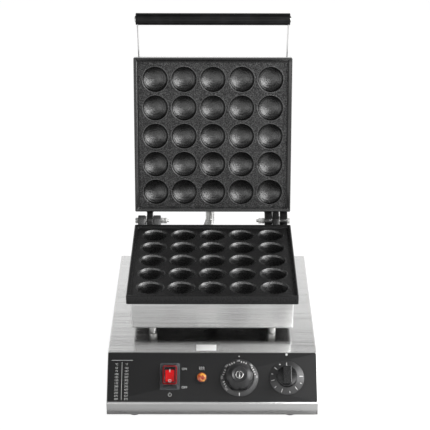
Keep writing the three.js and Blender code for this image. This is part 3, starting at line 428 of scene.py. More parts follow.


# Lower box: a deep tray folded from 1.2 mm brushed sheet, open at the top where the casting lies on it. Its
# corners are welded. Its left and right walls and the band along its foot carry painted highlights, and its
# underside painted shade.

def square_rings(rows, stations):
    """Rounded rectangles, one for each row of (half width, half length, corner radius, height). The stations
    run from -1 to 1 along each side. Past 0.9 they go round the corner's arc, if it has a radius."""
    share, sign = np.abs(stations), np.sign(stations)
    turn = np.clip((share - 0.9) / 0.1, 0, 1) * math.pi / 4

    def along(half, radius):
        arc = sign * (np.clip(share / 0.9, 0, 1) * (half - radius) + radius * np.sin(turn))
        return arc if radius else stations * half

    rings = []
    for half_x, half_y, radius, height in rows:
        x, y, drawn_in = along(half_x, radius), along(half_y, radius), radius * (1 - np.cos(turn))
        side, end = half_x - drawn_in, half_y - drawn_in
        sides = [(x, -end), (side, y), (-x, end), (-side, -y)]
        rings.append(np.insert(np.hstack(sides).T, 2, height, axis=1))
    return np.array(rings)


def plan_of(line, half_x, half_y, radius):
    """Rows for square_rings from a line of (reach, height) carried round a rectangle. Near the middle the
    corners are square, and elsewhere their radius is a function of how far the line is drawn in."""
    rows = []
    for reach, up in line:
        corner = 0 if reach < half_x / 2 else radius(half_x - reach)
        rows.append((reach, max(reach - half_x + half_y, 0.01), corner, up))
    return rows


box_stations = np.concatenate([np.linspace(-1, -0.9, 5), np.linspace(-0.8, 0.8, 9), np.linspace(0.9, 1, 5)])


def folded_tray(name, half_x, half_y, height, sheet=1.2, bend=2.5):
    """A tray of sheet: a line from the middle of its foot, out and up, over its edge and back inside, carried
    round a rectangle."""
    inner = half_x - sheet
    corners = [(0.01, 0), (half_x, 0), (half_x, height), (inner, height), (inner, sheet), (0.01, sheet)]
    wall = eased(corners, [bend, 0.3, 0.3, bend - sheet], 6)
    rows = plan_of(wall, half_x, half_y, lambda drawn_in: max(bend - drawn_in, 0.4))
    return build(name, [square_rings(rows, box_stations)])


low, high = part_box("lower_box")
plates_y, box_top = (low.y + high.y) / 2, high.z
box_half_x, box_half_y, box_height = (high.x - low.x) * 500, (high.y - low.y) * 500, (high.z - low.z) * 1000
box_steel = brushed(
    "brushed box sheet", 0, (0.68, 0.68, 0.675), (0.65, 0.65, 0.646), 0.22, 0.28, blur=0.85,
    foot=(high.x - 0.001, low.z + 0.0016),
)
lower_box = folded_tray("folded_box", box_half_x, box_half_y, box_height)
fit(lower_box, foot_of("lower_box")[0], box_steel, "base", "brushed_sheet", "lower_box")


# What lies inside the box and the cover: a sheathed heating element clamped under each casting, a pad of
# pressed ceramic wool, and the thermostat's copper bulb. Heat has turned the sheaths grey, brown and blue in
# patches.

heated = [(0.35, (0.17, 0.15, 0.14)), (0.5, (0.3, 0.25, 0.2)), (0.65, (0.2, 0.2, 0.25))]
sheath = mottled("heated sheath", (40,), heated, (0.35, 0.6), (0.0001, 0.4), Metallic=1.0)
finish = Finish("pressed ceramic wool")
fibre, clump = finish.noise([700, 700, 250], 6, 0.7), finish.noise(90)
shade = finish.ramp(fibre * 0.6 + clump * 0.4, (0.3, (0.6, 0.56, 0.48)), (0.7, (0.82, 0.79, 0.72)))
wool = finish.skin(shade, fibre, fibre + clump, (0.0006, 0.7), 0.85, 1.0)
for part, material in [("heating_element", sheath), ("element_clamp", plain_sheet), ("insulation", wool)]:
    keep(material, f"lower_{part}", f"upper_{part}")
keep(plated("drawn copper", (0.72, 0.36, 0.22), 0.2, 0.38), "thermostat_bulb")
keep(bright_steel, "grip_rod")


# Cooking plates: one casting used twice, 274 mm wide, dark and coated. Its 25 hollows are cut by a form tool
# that leaves fine rings, each with a steep wall and a low bead, inside a tray with a raised rim. Lugs at the
# back carry the hinge, and four bosses take the bolts. The upper plate is the same casting turned over.

plate_half_x, plate_half_y, plate_back = 137.0, 136.5, 135.0
plate_edge, floor_drop, core_drop = 15.0, 4.2, 19.5
pitch, bowl_radius, hollow_depth, wall_height = 50.0, 20.0, 12.0, 3.6
bowl_depth = hollow_depth - wall_height
ball = (bowl_radius ** 2 + bowl_depth ** 2) / (2 * bowl_depth)
bowl = np.linspace(0, math.asin(bowl_radius / ball), 14)
hollow_line = np.concatenate([
    np.column_stack([ball * np.sin(bowl), ball - hollow_depth - ball * np.cos(bowl)]),
    [(20.15, -3.4), (20.3, -3.05), (21.5, -0.8), (21.75, -0.3), (22.05, -0.02), (22.4, 0.15), (22.8, 0.2),
     (23.2, 0.12), (23.6, 0.02), (24.2, 0)],
])


def hollow():
    """One square of the casting round a hollow: rings of the hollow's line, and last the square's own edge,
    whose points lie where each direction leaves the square, at a / max(|cos v|, |sin v|)."""
    angle = np.radians(np.linspace(-45, 315, 49))
    edge = (pitch / 2) / np.maximum(np.abs(np.cos(angle)), np.abs(np.sin(angle)))
    radius = np.vstack([np.repeat(hollow_line[:, :1], len(angle), axis=1), edge])
    height = np.repeat(np.append(hollow_line[:, 1], 0)[:, None] - floor_drop, len(angle), axis=1)
    return np.stack([radius * np.cos(angle), radius * np.sin(angle), height], -1)


cell_places = (np.arange(5) - 2) * pitch
cells = [hollow() + (x, y, 0) for x in cell_places for y in cell_places]
field = 2.5 * pitch
cell_shares = np.tan(np.radians(np.linspace(-45, 45, 13)))[:-1] * (pitch / 2)
plate_stations = np.append(cell_places[:, None] + cell_shares, field) / field
rim = [
    (8.0, -floor_drop, 1.0), (7.7, -4.5, 1.0), (7.3, -5.1, 1.0), (6.5, -5.1, 1.0), (6.2, -4.6, 1.1),
    (6.05, -3.4, 1.1), (5.9, -2.1, 1.1), (5.6, -1.75, 1.2), (5.0, -1.45, 1.2), (2.6, -0.2, 1.4),
    (2.2, -0.03, 1.4), (1.3, 0, 1.6), (0.7, -0.12, 1.8), (0.2, -0.5, 2), (0, -1.1, 2), (0, -14, 2),
    (0.2, -14.7, 2), (0.9, -plate_edge, 2),
]
core = [(118.4, -15, 2), (118, -15.4, 2), (118, -19, 2), (117.5, -core_drop, 2), (0.01, -core_drop, 0)]
rim_rows = [(plate_half_x - inset, plate_half_y - inset, radius, height) for inset, height, radius in rim]
edge_rings = np.concatenate([
    square_rings([(field, field, 0, -floor_drop)], plate_stations),
    square_rings(rim_rows, plate_stations) + (0, plate_back - plate_half_y, 0),
    square_rings([(half, half, radius, height) for half, height, radius in core], plate_stations),
])


def slab(outline, start, end, bevel=0.6, axis=0):
    """An outline in two coordinates carried along the third, with its edges bevelled: towards both ends every
    side moves inwards and meets its neighbours again at their mitres. Returns the grid and its end faces."""
    outline = np.asarray(outline, float)
    on = np.roll(outline, -1, axis=0)
    if np.sum(outline[:, 0] * on[:, 1] - on[:, 0] * outline[:, 1]) < 0:
        outline = outline[::-1]
    step = np.roll(outline, -1, axis=0) - outline
    step /= np.linalg.norm(step, axis=1, keepdims=True)
    inward = np.column_stack([-step[:, 1], step[:, 0]])
    before = np.roll(inward, 1, axis=0)
    mitre = (before + inward) / np.maximum(1 + (before * inward).sum(1, keepdims=True), 0.5)
    third = bevel * 0.3
    places = [(start, bevel), (start + third, third), (start + bevel, 0)]
    places += [(end - bevel, 0), (end - third, third), (end, bevel)]
    stack = [np.insert(outline + mitre * by, axis, along, axis=1) for along, by in places]
    return np.array([np.vstack([row, row[:1]]) for row in stack]), [stack[0], stack[-1]]


hinge_reach, hinge_up, eye = 16.0, 0.2, 9.5
hinge_local = plate_back + hinge_reach
open_angle = 99.8
facing = math.radians(180 - open_angle)


def eye_arc(first, last, count):
    angle = np.radians(np.linspace(first, last, count))
    return np.column_stack([hinge_local + eye * np.cos(angle), hinge_up + eye * np.sin(angle)])


def heel_point(along):
    """A point of the heel that meets the other casting's heel when the lid stands open."""
    reach = hinge_reach - 0.3
    return (hinge_local + reach * math.cos(facing) + along * math.sin(facing),
            hinge_up + reach * math.sin(facing) - along * math.cos(facing))


root = [(plate_back - 5, -plate_edge + 0.5), (plate_back, -plate_edge + 0.5)]
shoulder = [(plate_back, -5.5), (plate_back - 5, -5.5)]
plain_lug = np.vstack([root, eye_arc(-90, 150, 22), shoulder])
heel = [heel_point(12), heel_point(3)]
stop_lug = np.vstack([root, eye_arc(-90, -2, 9), heel, eye_arc(108, 150, 5), shoulder])


left_lugs, right_lug, lug_bevel, fillet = [(-132, -118.6), (-105.1, -91.5)], 105.6, 1.8, 4.0


def lugs(end):
    """The pair of lugs at the left and the single one at the right, up to its end, with a fillet wherever a
    lug's side meets the plate and no other lug comes near: grids and end faces."""
    slabs = [slab(plain_lug, *place, lug_bevel) for place in left_lugs]
    slabs.append(slab(stop_lug, right_lug, end, lug_bevel))
    quarter = np.radians(np.linspace(0, 90, 7))
    reach, rise = fillet - fillet * np.cos(quarter), plate_back + fillet - fillet * np.sin(quarter)
    for side, sign in ((left_lugs[1][1], 1), (right_lug, -1), (end, 1)):
        near, far = side + sign * fillet, side - sign
        corner = [(near, plate_back - 1), (far, plate_back - 1), (far, plate_back + fillet)]
        web = np.vstack([np.column_stack([side + sign * reach, rise]), corner])
        slabs.append(slab(web, -plate_edge + 1.2, -6, 0.4, axis=2))
    return [grid for grid, ends in slabs], [end_face for grid, ends in slabs for end_face in ends]


boss_line = [(0, -core_drop + 0.5), (7, -core_drop + 0.5), (7, -65.3), (0, -65.3)]
bolt_x, bolt_y = 96.5, 106
bosses = [turned(boss_line, 24) + (x, y, 0) for x in (-bolt_x, bolt_x) for y in (-bolt_y, bolt_y)]


def points_of(mesh):
    points = np.empty(len(mesh.vertices) * 3)
    mesh.vertices.foreach_get("co", points)
    return points.reshape(-1, 3)


def flat_map(piece, per_metre):
    """A UV map of a piece's plan in its own frame, before it is placed: x and y times a scale."""
    mesh = piece.data
    corner = np.empty(len(mesh.loops), int)
    mesh.loops.foreach_get("vertex_index", corner)
    plan = mesh.uv_layers.new(name="plan")
    plan.data.foreach_set("uv", (points_of(mesh)[corner, :2] * per_metre).ravel())


def coated_casting(name, axis, painted_glint_tone, bowl_tone_with_painted_light, painted_wall_light_and_shade, lug_tone_with_painted_light, rim_gloss):
    """Cast aluminium under a dark non-stick coat: coarse orange peel with lighter specks, which are painted
    glints.
    The hollows shine like dark metal, and the tool's fine rings in them lean the normal up and down the bowl.
    Each casting gets its own tones for specks, bowls, walls and lugs, painted for the light and shade that
    fall on it, and every hollow's lip carries a painted highlight."""
    finish = Finish(name, Specular_IOR_Level=0.3, Coat_Roughness=0.12)
    u, v = finish.parts("UV")[:2]
    counted = [part / (pitch / 100) + 100.5 for part in (u, v)]
    offset_u, offset_v = (count.math("FRACT", count) - 0.5 for count in counted)
    radius = (offset_u * offset_u + offset_v * offset_v) ** 0.5 * pitch
    reach = abs(u).most(abs(v))
    in_hollow = (radius < 23.3) * (reach < field / 100)
    on_lip = in_hollow * (radius > 21.7)
    on_wall = in_hollow * (radius > 20.1)
    on_rim = reach > 1.295
    on_lug = (v > 1.355) * (u < 0)
    ring_place = finish.node("CombineXYZ", {0: radius * 2.4, 1: offset_u * 2, 2: offset_v * 2})
    rings = finish.node("TexNoise", {"Vector": ring_place, "Scale": 1, "Detail": 2})
    peel, speck = finish.noise(520, 3, 0.6), finish.noise(560, 3, 0.75)
    painted_glints = finish.range(speck, 0.0, 1.0, 0.47, 0.6)
    shade = finish.blend(finish.noise(16), (0.004, 0.004, 0.0042), (0.007, 0.007, 0.0073))
    # Painted light and shade: the specks are painted glints, the lip a painted highlight, and the tones of
    # bowl, wall and lug paint in the light and shade that fall on each casting.
    for factor, tone in [
        (painted_glints * (1 - on_rim), painted_glint_tone), (on_rim, (0.014, 0.014, 0.0142)), (in_hollow, bowl_tone_with_painted_light),
        (on_wall, painted_wall_light_and_shade), (on_lip, 0.1), (on_lug, lug_tone_with_painted_light),
    ]:
        shade = finish.blend(factor, shade, tone)
    rough = finish.range(peel, 0.36, 0.5, 0.35, 0.65) - in_hollow * 0.16 - on_rim * 0.14
    tool = finish.leaned(finish.down_slope(axis), (rings - 0.5) * (in_hollow - on_wall) * 1.4)
    relief = finish.bump(peel, 0.002, 0.9 - in_hollow * 0.65 - on_rim * 0.8, Normal=tool)
    metal = in_hollow * 0.92 + on_lug * 0.5
    gloss = on_rim * rim_gloss
    return finish.feed(Base_Color=shade, Metallic=metal, Roughness=rough, Coat_Weight=gloss, Normal=relief)


def at(x, y, z):
    """The matrix that moves by a distance in millimetres."""
    return Matrix.Translation((x / 1000, y / 1000, z / 1000))


joints = {joint["name"]: Vector(joint["pos_m"]) for joint in frame["joints"]}
hinge = joints["lid_hinge"]
rim_z = box_top + (plate_edge + 0.3) / 1000
to_lower = Matrix.Translation((0, plates_y, rim_z))
to_upper = Matrix.Translation(hinge) @ spin(-open_angle, "X") @ at(0, -hinge_local, hinge_up) @ spin(180, "Y")
# Each casting's tones are painted light and shade: lighter bowls and specks on the lid, painted highlights on
# the lower casting's walls and lugs, and painted shade round the walls of the lid's hollows.
for name, matrix, body, node, lug_end, *tones in [
    ("lower_casting", to_lower, "base", "lower_plate", 117.2, 0.012, 0.035, 0.1, 0.12, 0),
    ("upper_casting", to_upper, "lid", "upper_plate", 116.5, 0.115, 0.09, 0.045, 0.02, 1),
]:
    coat = coated_casting(f"coat of {name}", tuple(matrix.to_3x3() @ Vector((0, 0, 1))), *tones)
    lug_grids, lug_ends = lugs(lug_end)
    casting = build(name, cells + [edge_rings] + lug_grids + bosses, lug_ends, 40, 2e-6)
    flat_map(casting, 10)
    fit(casting, matrix, coat, body, "coated_casting", node)


# Hinge bolts: a hexagon bolt at each side with a washer face under its head, turning in the castings' eyes,
# and two nuts on its threaded tail. All are zinc-plated steel.

def along_x(profile, steps=40, flat=None):
    """A profile of [radius, x] points carried round the x axis, but no further out than a hexagon's flats, if
    it has them, at a / cos t. A cone at an end then leaves the rounded corners of a real nut."""
    def flats(profile, angle):
        t = np.mod(angle + 0.42, math.pi / 3) - math.pi / 6
        return np.maximum(profile[:, :1] - flat / np.cos(t), 0)
    return np.roll(turned(profile, steps, flats if flat else None), 1, axis=-1)


zinc = plated("zinc plated steel", (0.95, 0.95, 0.93), 0.24, 0.36, metal=0.45)
to_hinge = Matrix.Translation((0, hinge.y, hinge.z))
hex_flat, thread_start = 5.0, 103.5
for side, sign, body in (("left", -1, "base"), ("right", 1, "lid")):
    low, high = box_mm(f"hinge_pin_{side}")
    inner, outer = sorted([abs(low[0]), abs(high[0])])
    head = [(0, 0), (4.4, 0), (5.75, -0.9), (5.75, -4.2), (5.2, -4.5), (5.2, -5), (0, -5)]
    turns = np.arange(thread_start, inner + 0.8, -0.25)
    thread = np.column_stack([2.72 + 0.25 * np.cos(turns * 2 * math.pi), turns])
    shank = [[(0, outer - 4), (2.97, outer - 4), (2.97, thread_start)], thread, [(2.2, inner), (0, inner)]]
    head = along_x(np.array(head) + (0, outer), 72, hex_flat)
    grids = [head * (sign, 1, 1), along_x(np.vstack(shank), 24) * (sign, 1, 1)]
    bolt = build(f"hinge_bolt_{side}", grids, sharp=25)
    fit(bolt, to_hinge, zinc, body, "bright_hardware", f"hinge_pin_{side}")
    washer_line = [(3.3, 117.45), (8, 117.45), (8, 118.35), (3.3, 118.35), (3.3, 117.45)]
    washer = build(f"hinge_washer_{side}", [along_x(washer_line) * (sign, 1, 1)])
    fit(washer, to_hinge, zinc, "base", "bright_hardware")
    for node in (f"hinge_nut_first_{side}", f"hinge_nut_second_{side}"):
        a, b = (corner[0] for corner in box_mm(node))
        nut_line = [(3.0, a), (4.6, a), (5.75, a + 0.8), (5.75, b - 0.8), (4.6, b), (3.0, b), (3.0, a)]
        nut = build(f"plated_{node}", [along_x(nut_line, 72, hex_flat)], sharp=25)
        fit(nut, to_hinge, zinc, body, "bright_hardware", node)


# Upper cover: the same folded tray as the lower box, a little narrower, turned over the upper casting and
# held by four domed screws through its back.

cover_half_x, cover_height = 127.5, 51.5
tray_foot = -(plate_edge + 0.3 + cover_height)
upper_cover = folded_tray("folded_cover", cover_half_x, box_half_y, cover_height)
fit(upper_cover, to_upper @ at(0, 0, tray_foot), sheet_steel, "lid", "brushed_sheet", "upper_cover")


def domed_screw(node, matrix, steps, radius, dome, socket, deep):
    """A domed screw head: from its edge a quarter of an ellipse, cut off by a round recess for the driver."""
    angle = np.linspace(0, math.acos(socket / radius), 9)
    arc = np.column_stack([radius * np.cos(angle), 0.35 + (dome - 0.35) * np.sin(angle)])
    floor = arc[-1, 1] - deep
    line = np.vstack([[(0, 0), (radius, 0)], arc, [(socket, floor), (0, floor)]])
    screw = build(f"domed_{node}", [turned(line, steps)])
    fit(screw, to_upper @ matrix, bright_steel, "lid", "bright_hardware", node)


for name, x, y in quarters:
    seat = at(x * bolt_x, y * bolt_y, tray_foot - 0.3) @ spin(180, "X")
    domed_screw(f"cover_screw_{name}", seat, 48, 6, 3.2, 2.2, 1.2)


# Handle: two straps of 2.2 mm steel, screwed flat to the cover's sides and bent down past the casting's front
# edge, with a moulded black grip between their ends. A rod with a domed screw at each end clamps the grip.

arm_middle, arm_thick, arm_half = 128.9, 2.2, 9.0
arm_places = np.array([(20.0, -49.0), (-128.0, -40.0), (-205.0, 5.0)])
to_grip = at(0, *arm_places[2])


def strap_outline(places, half):
    """A bent strap's outline: its centre line moved to both sides by half its width, a half circle round each
    end and an arc round the outside of the bend."""
    rear, bend, end = places
    first, second = (math.atan2(*(to - start)[::-1]) for start, to in ((rear, bend), (bend, end)))
    quarter = math.pi / 2

    def arc(centre, start, stop, count, radius=half):
        angle = np.linspace(start, stop, count)
        return centre + radius * np.column_stack([np.cos(angle), np.sin(angle)])

    inner_way = (first + second) / 2 - quarter
    return np.vstack([
        arc(rear, first + quarter, first + 3 * quarter, 16),
        arc(bend, inner_way, inner_way, 1, half / math.cos((second - first) / 2)),
        arc(end, second - quarter, second + quarter, 16),
        arc(bend, second + quarter, first + quarter, 6),
    ])


strap_steel = brushed("brushed strap", 2, (0.95, 0.95, 0.945), (0.9, 0.9, 0.896), 0.42, 0.5)
for side, sign in (("left", 1), ("right", -1)):
    edges = sorted([sign * (arm_middle - arm_thick / 2), sign * (arm_middle + arm_thick / 2)])
    grid, ends = slab(strap_outline(arm_places, arm_half), *edges, 0.35)
    strap = build(f"strap_{side}", [grid], ends)
    fit(strap, to_upper, strap_steel, "lid", "brushed_sheet", f"handle_arm_{side}")
    outwards = spin(sign * 90, "Y")
    for where, y, z in [("rear", 13.0, -49.0), ("front", -100.0, -44.5)]:
        seat = at(sign * (arm_middle + arm_thick / 2 + 0.1), y, z) @ outwards
        domed_screw(f"arm_screw_{where}_{side}", seat, 40, 5, 2.4, 1.7, 1.0)
    domed_screw(f"grip_screw_{side}", to_grip @ at(sign * 131.8, 0, 0) @ outwards, 48, 5.6, 2.5, 2.0, 1.2)


def grip_grid(half, full_radius, ridges=18, deep=0.28, ease=1.2):
    """The grip along x: a bar with rounded ends. Its radius falls a little between its ridges, and not at
    all near its ends: r = R - d (1 - cos nv) / 2."""
    turn = np.linspace(0, math.pi / 2, 6)
    ends_in = ease * (1 - np.sin(turn))
    start = np.append(-half, ease * (1 - np.cos(turn)) - half)
    along = np.concatenate([start, np.linspace(ease - half, half - ease, 24)[1:-1], -start[::-1]])
    drawn_in = np.concatenate([[full_radius], ends_in, np.zeros(11)])
    radius = full_radius - np.concatenate([drawn_in, drawn_in[::-1]])
    fade = np.clip((half - np.abs(along)) / 6 - 0.3, 0, 1)
    angle = np.linspace(0, 2 * math.pi, 145)
    groove = deep * (1 - np.cos(ridges * angle)) / 2
    full = radius[:, None] - groove * fade[:, None] * (radius[:, None] > 5)
    stations = np.broadcast_to(along[:, None], full.shape)
    return np.stack([stations, full * np.cos(angle), full * np.sin(angle)], -1)


grip_black = moulded_black("ridged black grip", (0.006, 0.006, 0.0065), 0.4, Specular_IOR_Level=0.2)
grip = build("ridged_grip", [grip_grid(131.6, 10.25)])
fit(grip, to_upper @ to_grip, grip_black, "lid", "black_plastic", "grip")


# Wiring conduit: a hose wound from interlocked steel strip, 16 mm across, from the box's back wall round
# behind the hinge and up into the cover, with a nickel gland at each end.

box_gland = (to_lower, -20.0, -(plate_edge + 0.3 + box_height) + 26)
lid_gland = (to_upper, 5.0, -(plate_edge + box_height / 2))
socket_at = box_half_y + 4.3
clear_at = socket_at + 25
bend_at = clear_at + 8


def behind(gland, y):
    """The place behind a gland, in millimetres of the world, that lies at y in its plate's frame."""
    matrix, x, z = gland
    return np.array(matrix @ Vector((x / 1000, y / 1000, z / 1000))) * 1000


middle = (behind(box_gland, bend_at) + behind(lid_gland, bend_at)) / 2 + (0, 24, -12)
route = [behind(box_gland, y) for y in (socket_at, clear_at, bend_at)] + [middle]
route += [behind(lid_gland, y) for y in (bend_at, clear_at, socket_at)]


def curve_through(points, per_span=60):
    """A centripetal Catmull-Rom curve: on each span, three rounds of straight blends between four points,
    with knots spaced by the square root of the distance between the points."""
    points = np.vstack([2 * points[0] - points[1], points, 2 * points[-1] - points[-2]])
    knots = np.concatenate([[0], np.cumsum(np.linalg.norm(np.diff(points, axis=0), axis=1) ** 0.5)])
    spans = []
    for i in range(1, len(points) - 2):
        t = np.linspace(knots[i], knots[i + 1], per_span, endpoint=False)[:, None]
        level, knot = points[i - 1:i + 3], knots[i - 1:i + 3]
        for pairs in ([(0, 1), (1, 2), (2, 3)], [(0, 2), (1, 3)], [(1, 2)]):
            level = [((knot[b] - t) * level[k] + (t - knot[a]) * level[k + 1]) / (knot[b] - knot[a])
                     for k, (a, b) in enumerate(pairs)]
        spans.append(level[0])
    return np.vstack(spans + [points[-2:-1]])


def hose(line, radius, strip, winding=2.8, sides=28, per_turn=8):
    """A tube along a line whose radius follows a wound strip: across each winding the strip rises, runs flat
    and drops into a narrow seam, r = R - s |cos(pi t / p)|^6."""
    lengths = np.concatenate([[0], np.cumsum(np.linalg.norm(np.diff(line, axis=0), axis=1))])
    stations = np.linspace(0, lengths[-1], int(lengths[-1] / winding * per_turn) + 1)
    centre = np.stack([np.interp(stations, lengths, line[:, k]) for k in range(3)], -1)
    ahead = np.gradient(centre, axis=0)
    ahead /= np.linalg.norm(ahead, axis=1, keepdims=True)
    side = np.cross(ahead, [1.0, 0.02, 0.03])
    side /= np.linalg.norm(side, axis=1, keepdims=True)
    other = np.cross(ahead, side)
    angle = np.linspace(0, 2 * math.pi, sides + 1)[None, :]
    wave = np.abs(np.cos(math.pi * (stations[:, None] / winding + angle / (2 * math.pi)))) ** 6
    round_it = side[:, None] * np.cos(angle)[..., None] + other[:, None] * np.sin(angle)[..., None]
    return centre[:, None] + (radius - strip * wave)[:, :, None] * round_it


route_line = curve_through(np.array(route))
skin, bore = hose(route_line, 7.95, 1.0), hose(route_line, 6.0, 0.0)
lips = [np.array([skin[end], bore[end]]) for end in (0, -1)]
conduit = build("wound_hose", [skin, bore[:, ::-1]] + lips, sharp=60)
finish = Finish("wound steel strip", Metallic=1.0)
grime = finish.noise(500)
mixed = grime * 0.5 + finish.noise(70, 3) * 0.5
shade = finish.ramp(mixed, (0.3, (0.45, 0.45, 0.44)), (0.6, (0.74, 0.74, 0.73)))
conduit.data.materials.append(finish.skin(shade, grime, grime, (0.00003, 0.4), 0.18, 0.42))
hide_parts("conduit")
bend_start, bend_end = (tuple(behind(gland, clear_at) / 1000) for gland in (box_gland, lid_gland))
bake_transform(conduit)

nickel = plated("nickel plated brass", (0.7, 0.68, 0.62), 0.14, 0.3)
gland_line = eased(
    [(5.8, -7.2), (9, -7.2), (9, 0.3), (13.5, 0.3), (13.5, 3.3), (11, 3.6), (11, 13), (8.3, 13), (8.3, 4),
     (5.8, 4), (5.8, -7.2)],
    [0.4, 0.1, 0.5, 0.9, 0.3, 0.9, 0.5, 0.1, 0.1], 4,
)


def gland_flutes(profile, angle):
    """Six spanner flats on the collar and fine knurls on the sleeve above it."""
    sleeve = ((profile[:, :1] > 10.9) & (profile[:, 1:] > 4.5) & (profile[:, 1:] < 12)) * 0.25
    return spanner_flats(13.5, 1.5)(profile, angle) + sleeve * (1 - np.cos(30 * angle))


for name, body, (matrix, x, z) in (("box", "base", box_gland), ("lid", "lid", lid_gland)):
    gland = build(f"gland_{name}", [turned(gland_line, 120, gland_flutes)], sharp=25)
    seat = matrix @ at(x, box_half_y, z) @ spin(-90, "X")
    fit(gland, seat, nickel, body, "bright_hardware", f"conduit_gland_{name}")


# Control panel: a 0.8 mm black sheet on the slope, satin, with everything on it printed in silver: two
# columns of temperatures at the left, ON and OFF beside the switch, plain signs at switch and lamp, and a dot
# over each dial.

to_panel = at(0, slope_top, base_top) @ spin(45, "X")
panel_half_x, panel_half_y, panel_y, panel_face = base_right - 1.0, 39.3, -40.3, 1.1
satin_black = mottled(
    "satin black sheet", ([5, 60, 60], 5), [(0, (0.007, 0.007, 0.0073)), (1, (0.0105, 0.0105, 0.011))],
    (0.5, 0.6), (0.00002, 0.5), (1800, 2), Specular_IOR_Level=0.4,
)
corners = [(0.01, 0.3), (panel_half_x, 0.3), (panel_half_x, panel_face), (0.01, panel_face)]
panel_rows = plan_of(eased(corners, [0.1, 0.25], 4), panel_half_x, panel_half_y, lambda drawn_in: 1.2)
panel = build("printed_panel", [square_rings(panel_rows, box_stations) + (0, panel_y, 0)])
fit(panel, to_panel, satin_black, "base", "black_print", "control_panel")


def printed_ink(name, tone):
    """Screen-printed ink: flat, pale, a little uneven in cover."""
    stops = [(0.3, [part * 0.72 for part in tone]), (0.55, tone)]
    return mottled(name, (900,), stops, (0.4, 0.6), (0.00001, 0.3))


ink_rise, ink_thick = 0.02, 0.08


def lettering(words, size, x, y, z=ink_rise, turn=0.0, stretch=1.0):
    """Printed figures as a thin mesh, in mm: a text curve is made a mesh before its place is applied."""
    curve = bpy.data.curves.new("figures", "FONT")
    curve.body, curve.size, curve.resolution_u = str(words), size / 1000, 3
    curve.align_x, curve.align_y = "CENTER", "CENTER"
    curve.extrude = ink_thick / 2000
    holder = bpy.data.objects.new("figures", curve)
    scene.collection.objects.link(holder)
    bpy.context.view_layer.update()
    mesh = bpy.data.meshes.new_from_object(holder.evaluated_get(bpy.context.evaluated_depsgraph_get()))
    bpy.data.objects.remove(holder)
    bpy.data.curves.remove(curve)
    mesh.transform(at(x, y, z) @ spin(turn, "Z") @ Matrix.Diagonal((stretch, 1, 1, 1)))
    return mesh


def printed(name, figures, marks):
    """Joins printed figures and marks into one piece."""
    piece = build(name, marks)
    work = bmesh.new()
    for mesh in [piece.data] + figures:
        work.from_mesh(mesh)
    bmesh.ops.remove_doubles(work, verts=work.verts, dist=1e-6)
    work.to_mesh(piece.data)
    work.free()
    piece.data.shade_flat()
    for mesh in figures:
        bpy.data.meshes.remove(mesh)
    return piece


def bar_grid(x, y, width, length, turn=0.0, z=ink_rise):
    """A printed bar: a flat box with its top and sides, turned about its middle by an angle in degrees."""
    w, h = width / 2, length / 2
    c, s = math.cos(math.radians(turn)), math.sin(math.radians(turn))
    loop = np.array([(-w, -h), (w, -h), (w, h), (-w, h), (-w, -h)]) @ np.array([[c, s], [-s, c]])
    levels = [(1e-4, z), (1, z), (1, z + ink_thick), (1e-4, z + ink_thick)]
    return np.array([np.insert(loop * full + (x, y), 2, up, axis=1) for full, up in levels])


def dot_grid(x, y, radius, z=ink_rise):
    return turned([(0, 0), (radius, 0), (radius, ink_thick), (0, ink_thick)], 20) + (x, y, z)


def arc_grid(x, y, z, radius, width, first, last, steps=24):
    """A printed arc: a flat band between two radii, with its own small thickness."""
    angle = np.radians(np.linspace(first, last, steps + 1))
    inner, outer = radius - width / 2, radius + width / 2
    loop = [(inner, 0), (outer, 0), (outer, ink_thick), (inner, ink_thick), (inner, 0)]
    rows = [(x + r * np.cos(angle), y + r * np.sin(angle), np.full(steps + 1, z + up)) for r, up in loop]
    return np.array([np.column_stack(row) for row in rows])


top = panel_face + ink_rise
figures = []
celsius = list(range(50, 301, 25))
fahrenheit = [round(value * 9 / 5 + 32) for value in celsius]
for x, sign, column in [(-150.7, "°C", celsius), (-135.0, "°F", fahrenheit)]:
    figures.append(lettering(sign, 4.4, x, -19.7, top))
    for row, value in enumerate(column):
        figures.append(lettering(value, 4.3, x, -(25.6 + row * 4.98), top, stretch=0.95))
figures += [lettering("ON", 5.2, -44.0, -27.0, top), lettering("OFF", 5.2, -43.6, -56.8, top)]
marks = [
    bar_grid(-142.3, -46.3, 0.55, 61, z=top),
    bar_grid(-142.3, -13.0, 33.5, 0.6, z=top),
    arc_grid(-66.4, -68.4, top, 2.5, 0.6, 125, 415),
    bar_grid(-66.4, -66.0, 0.6, 3.2, z=top),
    dot_grid(117.5, -3.2, 1.9, top),
    dot_grid(42.5, -6.4, 0.9, top),
]
wave_up = np.linspace(-2.6, 2.6, 13)
wave = np.column_stack([0.9 * np.sin(wave_up * 2.4), wave_up])
for shift in (-3.1, 0, 3.1):
    for here, there in zip(wave[:-1], wave[1:]):
        (x, y), way = (here + there) / 2 + (shift - 16.4, -25.8), there - here
        turn = 90 - math.degrees(math.atan2(*way))
        marks.append(bar_grid(x, y, math.hypot(*way) + 0.12, 0.55, turn, top))
silver = printed_ink("silver ink", (0.78, 0.78, 0.77))
fit(printed("panel_print", figures, marks), to_panel, silver, "base", "black_print")


# Mains switch: a black snap-in frame with a red rocker on its axle, I at the top and O at the foot, under a
# clear splash cover with sloping walls.

to_switch = to_panel @ at(-66.5, -39.3, 0)
frame_stations = np.array([-1, -0.967, -0.933, -0.9, -0.83, -0.6, -0.2, 0.2, 0.6, 0.83, 0.9, 0.933, 0.967, 1])


def bar(foot, top, *rows):
    """A small closed bar: square rings that are drawn together to a point at its foot and at its top."""
    return square_rings([(0.01, 0.01, 0, foot), *rows, (0.01, 0.01, 0, top)], frame_stations)


